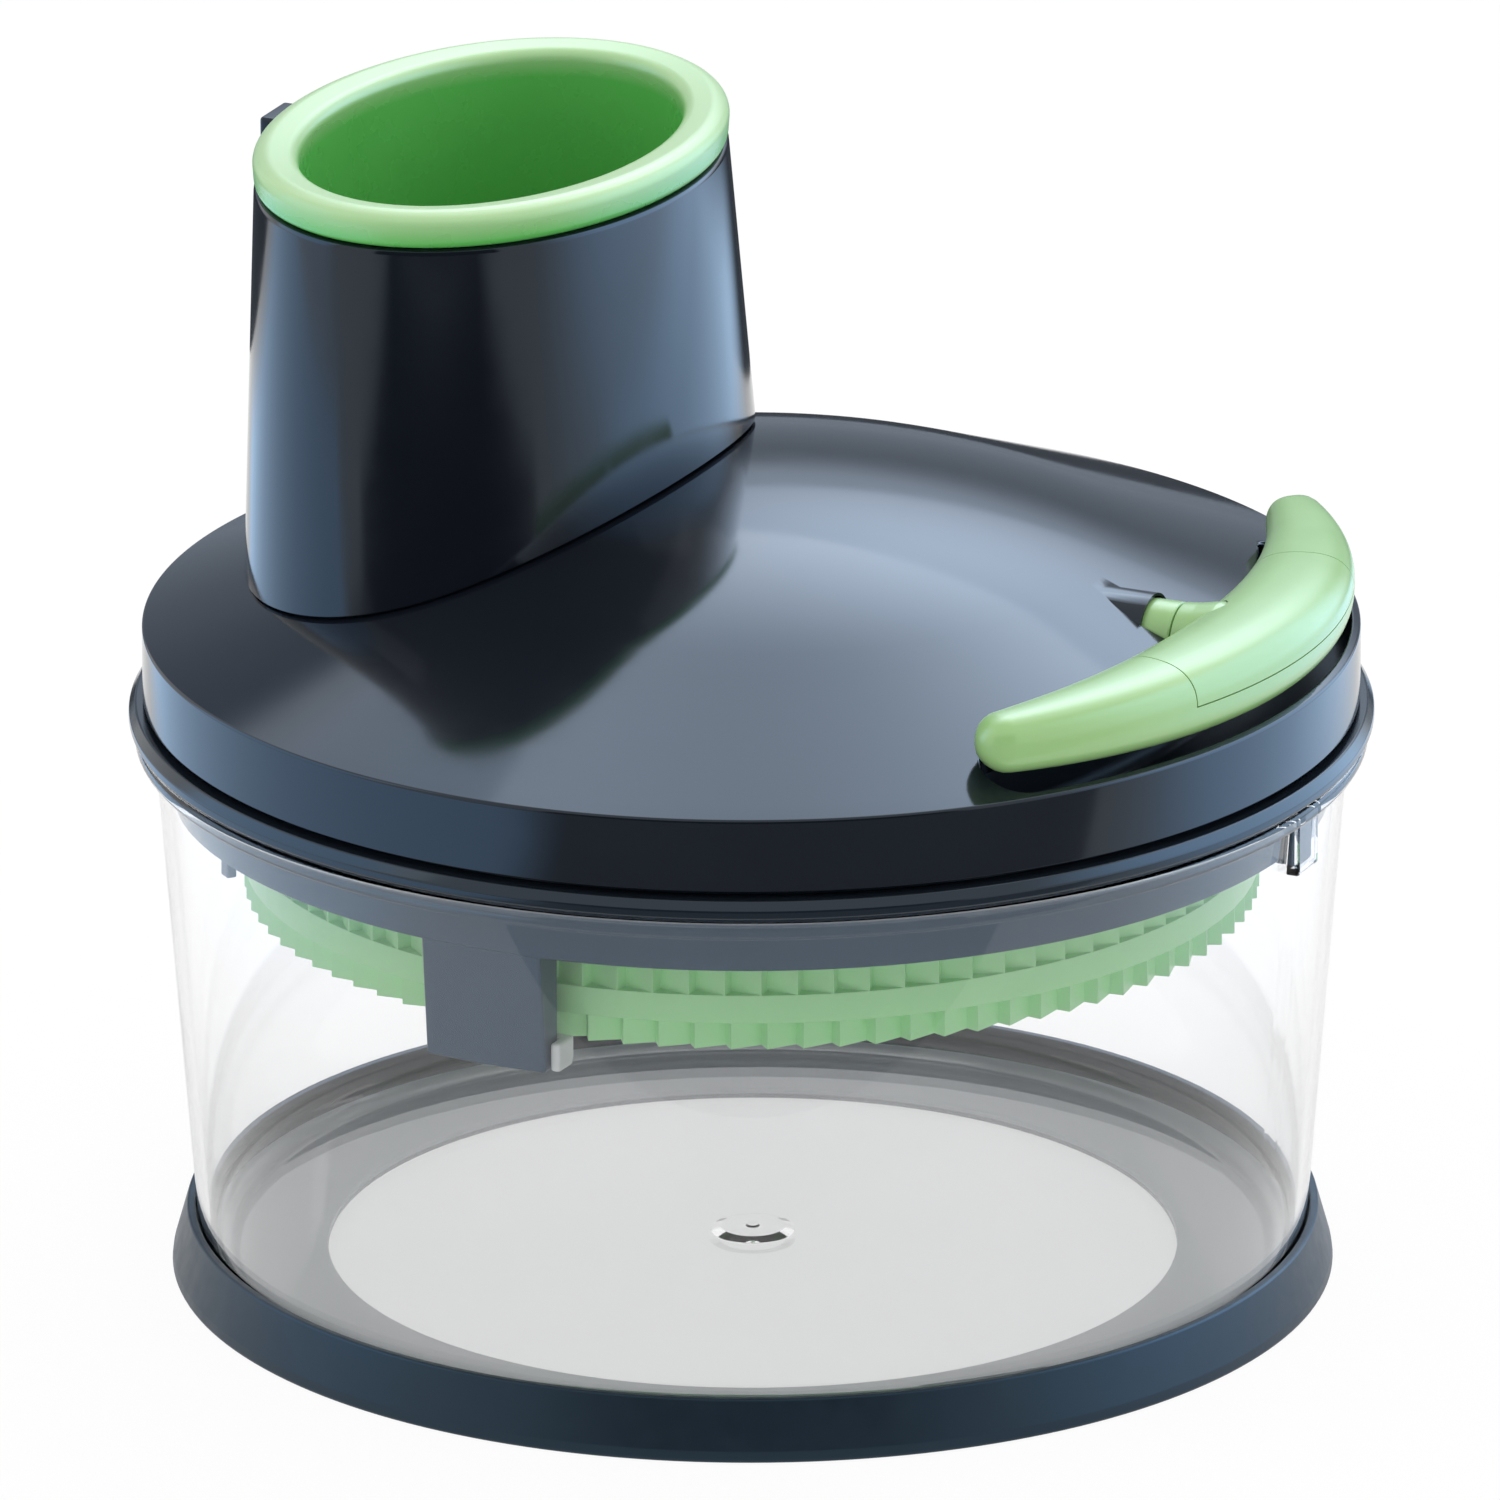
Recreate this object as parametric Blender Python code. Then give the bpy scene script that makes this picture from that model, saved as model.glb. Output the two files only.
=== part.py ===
"""Pull-cord food processor: clear bowl, geared lid, feed chute with pusher, cutting rotor.

Metres, +Z up. The origin is on the bowl's axis, on the surface that the bowl stands on.
+X points at the pull handle and the chute stands over -X.
"""
import math

import bmesh
import bpy
from mathutils import Matrix

# Clearances
GAP = 0.0003
RUNNING_GAP = 0.0004
SLIDE_GAP = 0.0008

# Facets
SEGMENTS = 56
OVAL_SEGMENTS = 40
SPOOL_SEGMENTS = 32
SMALL_SEGMENTS = 12
GRIP_SEGMENTS = 16
SMOOTH_ANGLE = math.radians(32)

# Base ring
BASE_FLARE = 0.0048
BASE_LIP = 0.0020
BASE_HEIGHT = 0.0110
BASE_SOLE = 0.0020
BASE_SOLE_WIDTH = 0.0230

# Bowl
BOWL_FOOT_RADIUS = 0.0986
BOWL_DRAFT = 0.0072
BOWL_RIM_WIDTH = 0.0032
BOWL_RIM_Z = 0.1016
BOWL_RIM_DEPTH = 0.0032
BOWL_WALL = 0.0020
BOWL_FLOOR = 0.0030
BOWL_CORNER = 0.0060
DIMPLE_RADIUS = 0.0076
DIMPLE_HEIGHT = 0.0013
NUB_RADIUS = 0.0013
NUB_HEIGHT = 0.0010
KEY_WIDTH = 0.0064
KEY_DEPTH = 0.0120
KEY_WALL = 0.0012
KEY_INSET = 0.0019

# Lid base
LID_OVERHANG = 0.0010
RIDGE_HEIGHT = 0.0040
SKIRT_DEPTH = 0.0107
SKIRT_WALL = 0.0024
SKIRT_CLEARANCE = 0.0008
DECK_DROP = 0.0076
DECK_THICKNESS = 0.0025
UPSTAND_HEIGHT = 0.0033
LEG_WIDTH = 0.0230
LEG_DROP = 0.0326
LEG_THICKNESS = 0.0056
LEG_ANGLES = (-93.0, 87.0)
LEG_CLEARANCE = 0.0012
LUG_SIZE = 0.0026
LUG_ANGLES = (-129.0, 51.0)

# Lid cover
COVER_SETBACK = 0.0025
COVER_WALL = 0.0022
COVER_SEAM = 0.0010
EDGE_RISE = 0.0184
EDGE_ROUND = 0.0006
SLOPE_WIDTH = 0.0415
CROWN_CURVE = 0.1840
SCREW_INSET = 0.0155
SCREW_ANGLES = (65.0, 101.0, 133.0)
SCREW_RADIUS = 0.0013
SCREW_HEAD_RADIUS = 0.0034
SCREW_HEAD_HEIGHT = 0.0018
SCREW_LENGTH = 0.0150
SCREW_SIDES = 8
BOSS_RADIUS = 0.0042

# Chute and pusher
CHUTE_X = -0.0500
CHUTE_RISE = 0.0784
CHUTE_TOP_X_HALF = 0.0385
CHUTE_TOP_Y_HALF = 0.0545
CHUTE_LEAN = 0.0028
CHUTE_FOOT_X_HALF = 0.0434
CHUTE_FOOT_Y_HALF = 0.0620
CHUTE_SHELL = 0.0024
PASSAGE_X_HALF = 0.0335
PASSAGE_Y_HALF = 0.0495
PASSAGE_WALL = 0.0025
PASSAGE_REACH = 0.0020
EAR_WIDTH = 0.0100
EAR_THICKNESS = 0.0045
EAR_RISE = 0.0036
EAR_HEIGHT = 0.0100
PUSHER_OVERLAP = 0.0003
PUSHER_FLANGE_HEIGHT = 0.0065
PUSHER_FLANGE_ROUNDING = ((-0.25, 0.0), (0.0, 0.35), (0.0, 0.65), (-0.25, 0.9), (-0.8, 1.0))
PUSHER_WALL = 0.0022
PUSHER_DRAFT = 0.0012
PUSHER_REACH = 0.0005

# Handle
HANDLE_RISE = 0.0083
HANDLE_TIP_INSET = 0.0075
HANDLE_MIDDLE_INSET = 0.0113
HANDLE_HALF_ANGLE = 39.6
HANDLE_MIDDLE_WIDTH = 0.0215
HANDLE_MIDDLE_HEIGHT = 0.0150
HANDLE_TIP_WIDTH = 0.0106
HANDLE_TIP_HEIGHT = 0.0104
HANDLE_TIP_ROUNDING = (30.0, 60.0, 80.0)
HANDLE_FULLNESS = 0.9
CAP_HALF_ANGLE = 19.0
CAP_SPLIT = 0.0004
CAP_STEPS = 11
STEM_RADIUS = 0.0062
STEM_LENGTH = 0.0137
STEM_TO_SPOOL = 0.0130
HOOD_WALL = 0.0010
HOOD_SETBACK = 0.0172
GUIDE_LENGTH = 0.0060
KNOT_INSET = 0.0007
KNOT_RADIUS = 0.0026
CORD_RADIUS = 0.0011
CORD_SIDES = 8
RECESS_CLEARANCE = 0.0010
RECESS_LIP = 0.0017
RECESS_DEPTH = 0.0085
RECESS_HALF_ANGLE = 37.8
RECESS_WALL = 0.0020
RECESS_END_MARGIN = 1.5
RECESS_STEPS = 14

# Gear train
GEAR_MODULE = 0.0015
GEAR_ADDENDUM = 0.9
GEAR_DEDENDUM = 1.2
PRESSURE_ANGLE = 20.0
PINION_TEETH = 16
SPOOL_GEAR_TEETH = 32
GEAR_THICKNESS = 0.0080
GEAR_BACKLASH = 0.0006
GEAR_LIFT = 0.0028
WINDING_RADIUS = 0.0240
WINDING_DEPTH = 0.0035
SPOOL_WALL = 0.0018
SPOOL_FLANGE_WIDTH = 0.0057
SPOOL_FLANGE = 0.0014
SPOOL_LIFT = 0.0022
SPOOL_AXLE_RADIUS = 0.0030
AXLE_SEAT_WALL = 0.0036
AXLE_SOCKET_WALL = 0.0021
SPOOL_HUB_WALL = 0.0042
CLUTCH_TEETH = 8
CLUTCH_TOOTH_LEAN = 0.075
SPRING_STRIP = 0.0004
SPRING_TURNS = 6
SPRING_STEPS = 12
BRIDGE_CLEARANCE = 0.0011
BRIDGE_THICKNESS = 0.0020
BRIDGE_POST_RADIUS = 0.0028
BRIDGE_POST_ANGLES = (-125.0, -20.0, 65.0)
BRIDGE_SCREW_RADIUS = 0.0011
BRIDGE_EAR_WALL = 0.0017

# Rotor
ROTOR_CLEARANCE = 0.0045
ROTOR_DROP = 0.0040
ROTOR_HEIGHT = 0.0179
ROTOR_WALL = 0.0043
ROTOR_TEETH = 90
TOOTH_DEPTH = 0.0023
TOOTH_SHARES = (0.04, 0.88)
LOWER_TEETH_HEIGHT = 0.0048
PLAIN_BAND = 0.0052
TOP_BAND = 0.0020
SPOKE_WIDTH = 0.0080
SPOKE_HEIGHT = 0.0060
SPOKES = 3
HUB_RADIUS = 0.0110
HUB_HEIGHT = 0.0120
SHAFT_RADIUS = 0.0040
BUSH_WALL = 0.0037
DISC_THICKNESS = 0.0012
DISC_DROP = 0.0033
BLADE_INSET = 0.0074
BLADE_WIDTH = 0.0140
BLADE_THICKNESS = 0.0008
KNOB_RADIUS = 0.0100
KNOB_HEIGHT = 0.0070
KNOB_GRIP = 0.0042
BUSH_FLANGE = 0.0018
BUSH_FLANGE_HEIGHT = 0.0009
COLLAR_WALL = 0.0024
PAD_THICKNESS = 0.0024
PAD_OVERHANG = 0.0035
PAD_INSET = 0.0020
PAD_TAB_HEIGHT = 0.0052

# Radii and places across, from the bowl outwards and inwards
BASE_RADIUS = BOWL_FOOT_RADIUS + BASE_FLARE
BASE_TOP_RADIUS = BOWL_FOOT_RADIUS + BASE_LIP
BASE_SOLE_INNER = BOWL_FOOT_RADIUS - BASE_SOLE_WIDTH
BOWL_MOUTH_RADIUS = BOWL_FOOT_RADIUS + BOWL_DRAFT
BOWL_RIM_RADIUS = BOWL_MOUTH_RADIUS + BOWL_RIM_WIDTH
LID_RADIUS = BOWL_RIM_RADIUS + LID_OVERHANG
COVER_RADIUS = LID_RADIUS - COVER_SETBACK
CROWN_RADIUS = COVER_RADIUS - SLOPE_WIDTH
SCREW_CIRCLE = COVER_RADIUS - SCREW_INSET
HANDLE_TIP_RADIUS = COVER_RADIUS - HANDLE_TIP_INSET
HANDLE_MIDDLE_RADIUS = COVER_RADIUS - HANDLE_MIDDLE_INSET
STEM_SEAM_X = HANDLE_MIDDLE_RADIUS - STEM_LENGTH
HOOD_MOUTH_X = HANDLE_MIDDLE_RADIUS - HOOD_SETBACK
KNOT_X = HANDLE_MIDDLE_RADIUS - KNOT_INSET
RECESS_INNER = HANDLE_MIDDLE_RADIUS - HANDLE_MIDDLE_WIDTH / 2 - RECESS_CLEARANCE
RECESS_OUTER = COVER_RADIUS - RECESS_LIP
HOOD_BORE = STEM_RADIUS + RUNNING_GAP
HOOD_RADIUS = HOOD_BORE + HOOD_WALL
CHUTE_FOOT_X = CHUTE_X + CHUTE_LEAN
PASSAGE_OUTER_X = PASSAGE_X_HALF + PASSAGE_WALL
PASSAGE_OUTER_Y = PASSAGE_Y_HALF + PASSAGE_WALL
PUSHER_FLANGE_X_HALF = CHUTE_TOP_X_HALF + PUSHER_OVERLAP
PUSHER_FLANGE_Y_HALF = CHUTE_TOP_Y_HALF + PUSHER_OVERLAP
PINION_RADIUS = GEAR_MODULE * PINION_TEETH / 2
SPOOL_GEAR_RADIUS = GEAR_MODULE * SPOOL_GEAR_TEETH / 2
SPOOL_CORE_RADIUS = WINDING_RADIUS - WINDING_DEPTH
SPOOL_FLANGE_RADIUS = SPOOL_CORE_RADIUS + SPOOL_FLANGE_WIDTH
SPOOL_HUB_RADIUS = SPOOL_AXLE_RADIUS + SPOOL_HUB_WALL
SPOOL_Y = -WINDING_RADIUS
SPOOL_X = math.sqrt((PINION_RADIUS + SPOOL_GEAR_RADIUS) ** 2 - SPOOL_Y ** 2)
SPOOL_CENTRE = (SPOOL_X, SPOOL_Y)
STEM_END_X = SPOOL_X + SPOOL_FLANGE_RADIUS + STEM_TO_SPOOL
BRIDGE_EAR_RADIUS = BRIDGE_POST_RADIUS + BRIDGE_EAR_WALL
BORE_RADIUS = SHAFT_RADIUS + GAP + BUSH_WALL

# Heights, from the ground up
BOWL_BOTTOM_Z = BASE_SOLE + GAP
BOWL_INSIDE_Z = BOWL_BOTTOM_Z + BOWL_FLOOR
RIDGE_Z = BOWL_RIM_Z + GAP
RIDGE_TOP_Z = RIDGE_Z + RIDGE_HEIGHT
COVER_BOTTOM_Z = RIDGE_TOP_Z + COVER_SEAM
LEG_BOTTOM = BOWL_RIM_Z - LEG_DROP
DECK_Z = BOWL_RIM_Z - DECK_DROP
DECK_TOP_Z = DECK_Z + DECK_THICKNESS
EDGE_Z = BOWL_RIM_Z + EDGE_RISE
RECESS_FLOOR_Z = EDGE_Z - RECESS_DEPTH
HANDLE_Z = EDGE_Z + HANDLE_RISE
CHUTE_TOP_Z = EDGE_Z + CHUTE_RISE
EAR_TOP_Z = CHUTE_TOP_Z + EAR_RISE
PASSAGE_END_Z = DECK_Z - PASSAGE_REACH
PUSHER_BOTTOM_Z = PASSAGE_END_Z - PUSHER_REACH
GEAR_Z = DECK_TOP_Z + GEAR_LIFT
BRIDGE_Z = GEAR_Z + GEAR_THICKNESS + BRIDGE_CLEARANCE
SPOOL_Z = BRIDGE_Z + BRIDGE_THICKNESS + SPOOL_LIFT
ROTOR_TOP_Z = DECK_Z - ROTOR_DROP
ROTOR_BOTTOM_Z = ROTOR_TOP_Z - ROTOR_HEIGHT
LOWER_TEETH_Z = ROTOR_BOTTOM_Z + LOWER_TEETH_HEIGHT
UPPER_TEETH_Z = LOWER_TEETH_Z + PLAIN_BAND
DISC_Z = ROTOR_TOP_Z - DISC_DROP
HUB_BOTTOM_Z = ROTOR_TOP_Z - HUB_HEIGHT


def arc(centre_r, centre_z, radius, start, end, steps):
    """Points of an arc in the (r, z) plane, angles in degrees."""
    points = []
    for step in range(steps + 1):
        angle = math.radians(start + (end - start) * step / steps)
        points.append((centre_r + radius * math.cos(angle), centre_z + radius * math.sin(angle)))
    return points


def bowl_outside(z):
    """Outer radius of the bowl's drafted wall at height z."""
    share = (z - BOWL_BOTTOM_Z - BOWL_CORNER) / (BOWL_RIM_Z - BOWL_BOTTOM_Z - BOWL_CORNER)
    return BOWL_FOOT_RADIUS + BOWL_DRAFT * share


LEG_OUTER = bowl_outside(LEG_BOTTOM) - BOWL_WALL - LEG_CLEARANCE
LEG_INNER = LEG_OUTER - LEG_THICKNESS
ROTOR_RADIUS = LEG_INNER - ROTOR_CLEARANCE


def dome_height(radius):
    """Height of the dome's outer face: a round crown, then a straight slope to the edge."""
    slope = CROWN_RADIUS / math.sqrt(CROWN_CURVE ** 2 - CROWN_RADIUS ** 2)
    crown_z = EDGE_Z + slope * (COVER_RADIUS - CROWN_RADIUS)
    if radius > CROWN_RADIUS:
        return crown_z - slope * (radius - CROWN_RADIUS)
    level = math.sqrt(CROWN_CURVE ** 2 - CROWN_RADIUS ** 2)
    return crown_z + math.sqrt(CROWN_CURVE ** 2 - radius ** 2) - level


def dome_radii():
    """Radii of the dome's profile points, from the slope in to the axis."""
    return [COVER_RADIUS * 0.8] + [CROWN_RADIUS * quarter / 4 for quarter in range(4, -1, -1)]


def finish(name, colour, roughness, metallic=0.0, alpha=1.0):
    """A Principled material."""
    material = bpy.data.materials.new(name)
    material.use_nodes = True
    shader = material.node_tree.nodes["Principled BSDF"]
    shader.inputs["Base Color"].default_value = (*colour, 1.0)
    shader.inputs["Roughness"].default_value = roughness
    shader.inputs["Metallic"].default_value = metallic
    shader.inputs["Alpha"].default_value = alpha
    return material


def add_object(name, bm, material=None):
    """Turn a bmesh into an object, smooth on its round faces."""
    mesh = bpy.data.meshes.new(name)
    bm.normal_update()
    bm.to_mesh(mesh)
    bm.free()
    if material is None:
        obj = bpy.data.objects.new(name + "_tool", mesh)
        obj.hide_render = True
        obj.display_type = "WIRE"
    else:
        obj = bpy.data.objects.new(name, mesh)
        mesh.materials.append(material)
        mesh.shade_smooth()
        mesh.set_sharp_from_angle(angle=SMOOTH_ANGLE)
    bpy.context.scene.collection.objects.link(obj)
    return obj


def turned(name, profile, material=None, centre=(0.0, 0.0), segments=SEGMENTS, sweep=360.0, start=0.0):
    """Spin a closed (r, z) outline about a vertical axis at centre."""
    bm = bmesh.new()
    verts = [bm.verts.new((r, 0.0, z)) for r, z in profile]
    full = sweep == 360.0
    if full:
        for a, b in zip(verts, verts[1:] + verts[:1]):
            if a.co.x > 0 or b.co.x > 0:
                bm.edges.new((a, b))
        geometry = list(bm.verts) + list(bm.edges)
    else:
        geometry = list(bm.verts) + [bm.faces.new(verts)]
    bmesh.ops.spin(bm, geom=geometry, cent=(0, 0, 0), axis=(0, 0, 1), angle=math.radians(sweep),
                   steps=segments, use_merge=full)
    bmesh.ops.remove_doubles(bm, verts=bm.verts, dist=1e-6)
    bmesh.ops.recalc_face_normals(bm, faces=bm.faces)
    bmesh.ops.rotate(bm, verts=bm.verts, matrix=Matrix.Rotation(math.radians(start), 3, "Z"))
    bmesh.ops.translate(bm, verts=bm.verts, vec=(centre[0], centre[1], 0.0))
    return add_object(name, bm, material)


def lofted(name, rings, material=None):
    """A closed skin over rings of points, all of one length, with flat ends."""
    bm = bmesh.new()
    rows = [[bm.verts.new(point) for point in ring] for ring in rings]
    count = len(rows[0])
    for lower, upper in zip(rows, rows[1:]):
        for i in range(count):
            j = (i + 1) % count
            bm.faces.new((lower[i], lower[j], upper[j], upper[i]))
    bm.faces.new(rows[0])
    bm.faces.new(rows[-1])
    bmesh.ops.remove_doubles(bm, verts=bm.verts, dist=1e-6)
    bmesh.ops.dissolve_degenerate(bm, edges=bm.edges, dist=1e-6)
    bmesh.ops.recalc_face_normals(bm, faces=bm.faces)
    return add_object(name, bm, material)


def plate(name, outline, z_low, z_high, material=None):
    """Extrude a flat outline of (x, y) points between two heights."""
    return lofted(name, [[(x, y, z) for x, y in outline] for z in (z_low, z_high)], material)


def circle(radius, centre=(0.0, 0.0), segments=SMALL_SEGMENTS, start=0.0):
    """Points of a circle in the XY plane."""
    points = []
    for i in range(segments):
        angle = math.radians(start) + 2 * math.pi * i / segments
        points.append((centre[0] + radius * math.cos(angle), centre[1] + radius * math.sin(angle)))
    return points


def oval(x_half, y_half, z, centre_x=CHUTE_X):
    """Ring of an ellipse about the chute's axis."""
    points = []
    for i in range(OVAL_SEGMENTS):
        angle = 2 * math.pi * i / OVAL_SEGMENTS
        points.append((centre_x + x_half * math.cos(angle), y_half * math.sin(angle), z))
    return points


def drum(name, radius, z_low, z_high, centre=(0.0, 0.0), material=None, segments=SMALL_SEGMENTS):
    """A plain vertical cylinder, for bosses, pins and holes."""
    return plate(name, circle(radius, centre, segments), z_low, z_high, material)


def bar(name, radius, x_low, x_high, material=None, segments=SMALL_SEGMENTS):
    """A cylinder along X on the handle's line of pull."""
    rings = []
    for x in (x_low, x_high):
        rings.append([(x, y, HANDLE_Z + z) for y, z in circle(radius, segments=segments)])
    return lofted(name, rings, material)


def block(name, low, high, angle=0.0, material=None):
    """A box between two corners, turned about the bowl's axis by angle in degrees."""
    outline = [(low[0], low[1]), (high[0], low[1]), (high[0], high[1]), (low[0], high[1])]
    obj = plate(name, outline, low[2], high[2], material)
    obj.data.transform(Matrix.Rotation(math.radians(angle), 4, "Z"))
    return obj


def combine(target, tool, operation):
    """Add a Boolean modifier that joins, cuts or keeps the overlap with a hidden tool."""
    modifier = target.modifiers.new(tool.name, "BOOLEAN")
    modifier.operation = operation
    modifier.solver = "EXACT"
    modifier.object = tool


def join(target, *tools):
    """Weld hidden solids onto the target."""
    for tool in tools:
        combine(target, tool, "UNION")


def cut(target, *tools):
    """Cut hidden solids out of the target."""
    for tool in tools:
        combine(target, tool, "DIFFERENCE")


def gear_outline(teeth, centre, first_tooth):
    """Involute-like outline; first_tooth is the angle in degrees of one tooth's middle."""
    pitch = GEAR_MODULE * teeth / 2
    tip = pitch + GEAR_ADDENDUM * GEAR_MODULE
    root = pitch - GEAR_DEDENDUM * GEAR_MODULE
    pressure = math.radians(PRESSURE_ANGLE)
    base = pitch * math.cos(pressure)
    half_at_pitch = (math.pi * GEAR_MODULE - GEAR_BACKLASH) / (4 * pitch)
    involute_at_pitch = math.tan(pressure) - pressure

    def half_angle(radius):
        if radius <= base:
            return half_at_pitch + involute_at_pitch
        roll = math.acos(base / radius)
        return half_at_pitch + involute_at_pitch - (math.tan(roll) - roll)

    points = []
    for tooth in range(teeth):
        middle = math.radians(first_tooth) + 2 * math.pi * tooth / teeth
        flank = [(root, half_angle(base)), (pitch, half_angle(pitch)), (tip, half_angle(tip))]
        corners = [(r, -a) for r, a in flank] + [(r, a) for r, a in reversed(flank)]
        for r, a in corners:
            points.append((centre[0] + r * math.cos(middle + a), centre[1] + r * math.sin(middle + a)))
    return points


def build_base_ring(rubber):
    """Flared non-slip ring that the bowl's foot stands in."""
    corner_z = BOWL_BOTTOM_Z + BOWL_CORNER
    corner_r = BOWL_FOOT_RADIUS - BOWL_CORNER
    profile = [(BASE_SOLE_INNER, 0.0), (BASE_RADIUS, 0.0), (BASE_TOP_RADIUS, BASE_HEIGHT)]
    profile.append((bowl_outside(BASE_HEIGHT) + GAP, BASE_HEIGHT))
    profile += arc(corner_r, corner_z, BOWL_CORNER + GAP, 0, -90, 3)
    profile.append((BASE_SOLE_INNER, BASE_SOLE))
    turned("base_ring", profile, rubber)


def build_bowl(clear):
    """Clear drafted bowl with a rim bead, a gate dimple and a key pocket under the handle."""
    corner_z = BOWL_BOTTOM_Z + BOWL_CORNER
    outer_corner = BOWL_FOOT_RADIUS - BOWL_CORNER
    inner_corner_z = BOWL_INSIDE_Z + BOWL_CORNER
    inner_corner = bowl_outside(inner_corner_z) - BOWL_WALL - BOWL_CORNER
    bead_z = BOWL_RIM_Z - BOWL_RIM_DEPTH
    profile = [(0.0, BOWL_BOTTOM_Z)]
    profile += arc(outer_corner, corner_z, BOWL_CORNER, -90, 0, 3)
    profile += [(bowl_outside(bead_z), bead_z), (BOWL_RIM_RADIUS, bead_z), (BOWL_RIM_RADIUS, BOWL_RIM_Z)]
    profile.append((bowl_outside(BOWL_RIM_Z) - BOWL_WALL, BOWL_RIM_Z))
    profile += arc(inner_corner, inner_corner_z, BOWL_CORNER, 0, -90, 3)
    profile += [(DIMPLE_RADIUS, BOWL_INSIDE_Z), (DIMPLE_RADIUS * 0.8, BOWL_INSIDE_Z + DIMPLE_HEIGHT)]
    nub_z = BOWL_INSIDE_Z + DIMPLE_HEIGHT
    profile += [(NUB_RADIUS, nub_z), (NUB_RADIUS, nub_z + NUB_HEIGHT), (0.0, nub_z + NUB_HEIGHT)]
    bowl = turned("bowl", profile, clear)
    key_outer = BOWL_RIM_RADIUS - KEY_INSET
    key_low = BOWL_RIM_Z - KEY_DEPTH
    wall = bowl_outside(key_low)
    side = KEY_WIDTH / 2 + KEY_WALL
    pocket = block("key_pocket", (wall - BOWL_WALL / 2, -side, key_low - KEY_WALL),
                   (key_outer, side, bead_z + BOWL_RIM_DEPTH / 2))
    slot = block("key_slot", (wall - 2 * BOWL_WALL, -KEY_WIDTH / 2, key_low),
                 (key_outer - KEY_WALL, KEY_WIDTH / 2, BOWL_RIM_Z + KEY_WALL))
    join(bowl, pocket)
    cut(bowl, slot)


def build_lid_base(slate):
    """Lower half of the lid: ridge ring, skirt, deck, two legs, key, posts and bearing bores."""
    skirt_z = BOWL_RIM_Z - SKIRT_DEPTH
    skirt_low = bowl_outside(skirt_z) - BOWL_WALL - SKIRT_CLEARANCE
    skirt_high = bowl_outside(BOWL_RIM_Z) - BOWL_WALL - SKIRT_CLEARANCE
    upstand = COVER_RADIUS - COVER_WALL - GAP
    chamfer = RIDGE_HEIGHT / 4
    profile = [(BORE_RADIUS, DECK_Z), (skirt_low - SKIRT_WALL, DECK_Z), (skirt_low - SKIRT_WALL, skirt_z)]
    profile += [(skirt_low, skirt_z), (skirt_high, RIDGE_Z), (LID_RADIUS - chamfer, RIDGE_Z)]
    profile += [(LID_RADIUS, RIDGE_Z + chamfer), (LID_RADIUS, RIDGE_TOP_Z - chamfer)]
    profile += [(LID_RADIUS - chamfer, RIDGE_TOP_Z), (upstand, RIDGE_TOP_Z)]
    upstand_z = RIDGE_TOP_Z + UPSTAND_HEIGHT
    profile += [(upstand, upstand_z), (upstand - SKIRT_WALL, upstand_z)]
    profile += [(upstand - SKIRT_WALL, RIDGE_Z + RIDGE_HEIGHT / 2), (skirt_high - SKIRT_WALL, RIDGE_Z)]
    profile += [(skirt_low - SKIRT_WALL, DECK_TOP_Z), (BORE_RADIUS, DECK_TOP_Z)]
    base = turned("lid_base", profile, slate)

    leg_high = bowl_outside(skirt_z) - BOWL_WALL - LEG_CLEARANCE
    deck_middle = DECK_Z + DECK_THICKNESS / 2
    for name, angle in zip(("leg_front", "leg_rear"), LEG_ANGLES):
        rings = []
        for outer, z in ((LEG_OUTER, LEG_BOTTOM), (leg_high, skirt_z), (leg_high, deck_middle)):
            half = LEG_WIDTH / 2
            corner = math.sqrt(outer ** 2 - half ** 2)
            rings.append([(LEG_INNER, -half, z), (corner, -half, z), (outer, 0.0, z), (corner, half, z),
                          (LEG_INNER, half, z)])
        leg = lofted(name, rings)
        leg.data.transform(Matrix.Rotation(math.radians(angle), 4, "Z"))
        join(base, leg)

    key_low = BOWL_RIM_Z - KEY_DEPTH
    key_half = KEY_WIDTH / 2 - GAP
    key_outer = BOWL_RIM_RADIUS - KEY_INSET - KEY_WALL - GAP
    key = block("lid_key", (skirt_low - SKIRT_WALL / 2, -key_half, key_low + GAP),
                (key_outer, key_half, RIDGE_Z + RIDGE_HEIGHT / 2))
    join(base, key)
    for name, angle in zip(("lug_front", "lug_rear"), LUG_ANGLES):
        lug = block(name, (skirt_low - SKIRT_WALL * 0.8, -LUG_SIZE / 2, skirt_z - LUG_SIZE),
                    (skirt_low - SKIRT_WALL * 0.1, LUG_SIZE / 2, skirt_z + LUG_SIZE), angle)
        join(base, lug)

    seat_radius = SPOOL_AXLE_RADIUS + AXLE_SEAT_WALL
    join(base, drum("axle_seat", seat_radius, deck_middle, GEAR_Z - GAP, SPOOL_CENTRE))
    for i, place in enumerate(bridge_posts()):
        post = drum(f"bridge_post_{i}", BRIDGE_POST_RADIUS, deck_middle, BRIDGE_Z - GAP, place)
        hole = drum(f"bridge_pilot_{i}", BRIDGE_SCREW_RADIUS + GAP, DECK_TOP_Z + GAP, BRIDGE_Z, place,
                    segments=SCREW_SIDES)
        join(base, post)
        cut(base, hole)
    cut(base, drum("axle_hole", SPOOL_AXLE_RADIUS + GAP, DECK_Z + DECK_THICKNESS / 3, GEAR_Z, SPOOL_CENTRE))
    cut(base, passage_plug("deck_passage", GAP, PASSAGE_END_Z, DECK_TOP_Z + PASSAGE_WALL))
    for i, place in enumerate(screw_places()):
        cut(base, drum(f"deck_screw_hole_{i}", SCREW_RADIUS + 2 * GAP, DECK_Z - GAP, DECK_TOP_Z + GAP,
                       place, segments=SCREW_SIDES))


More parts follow.
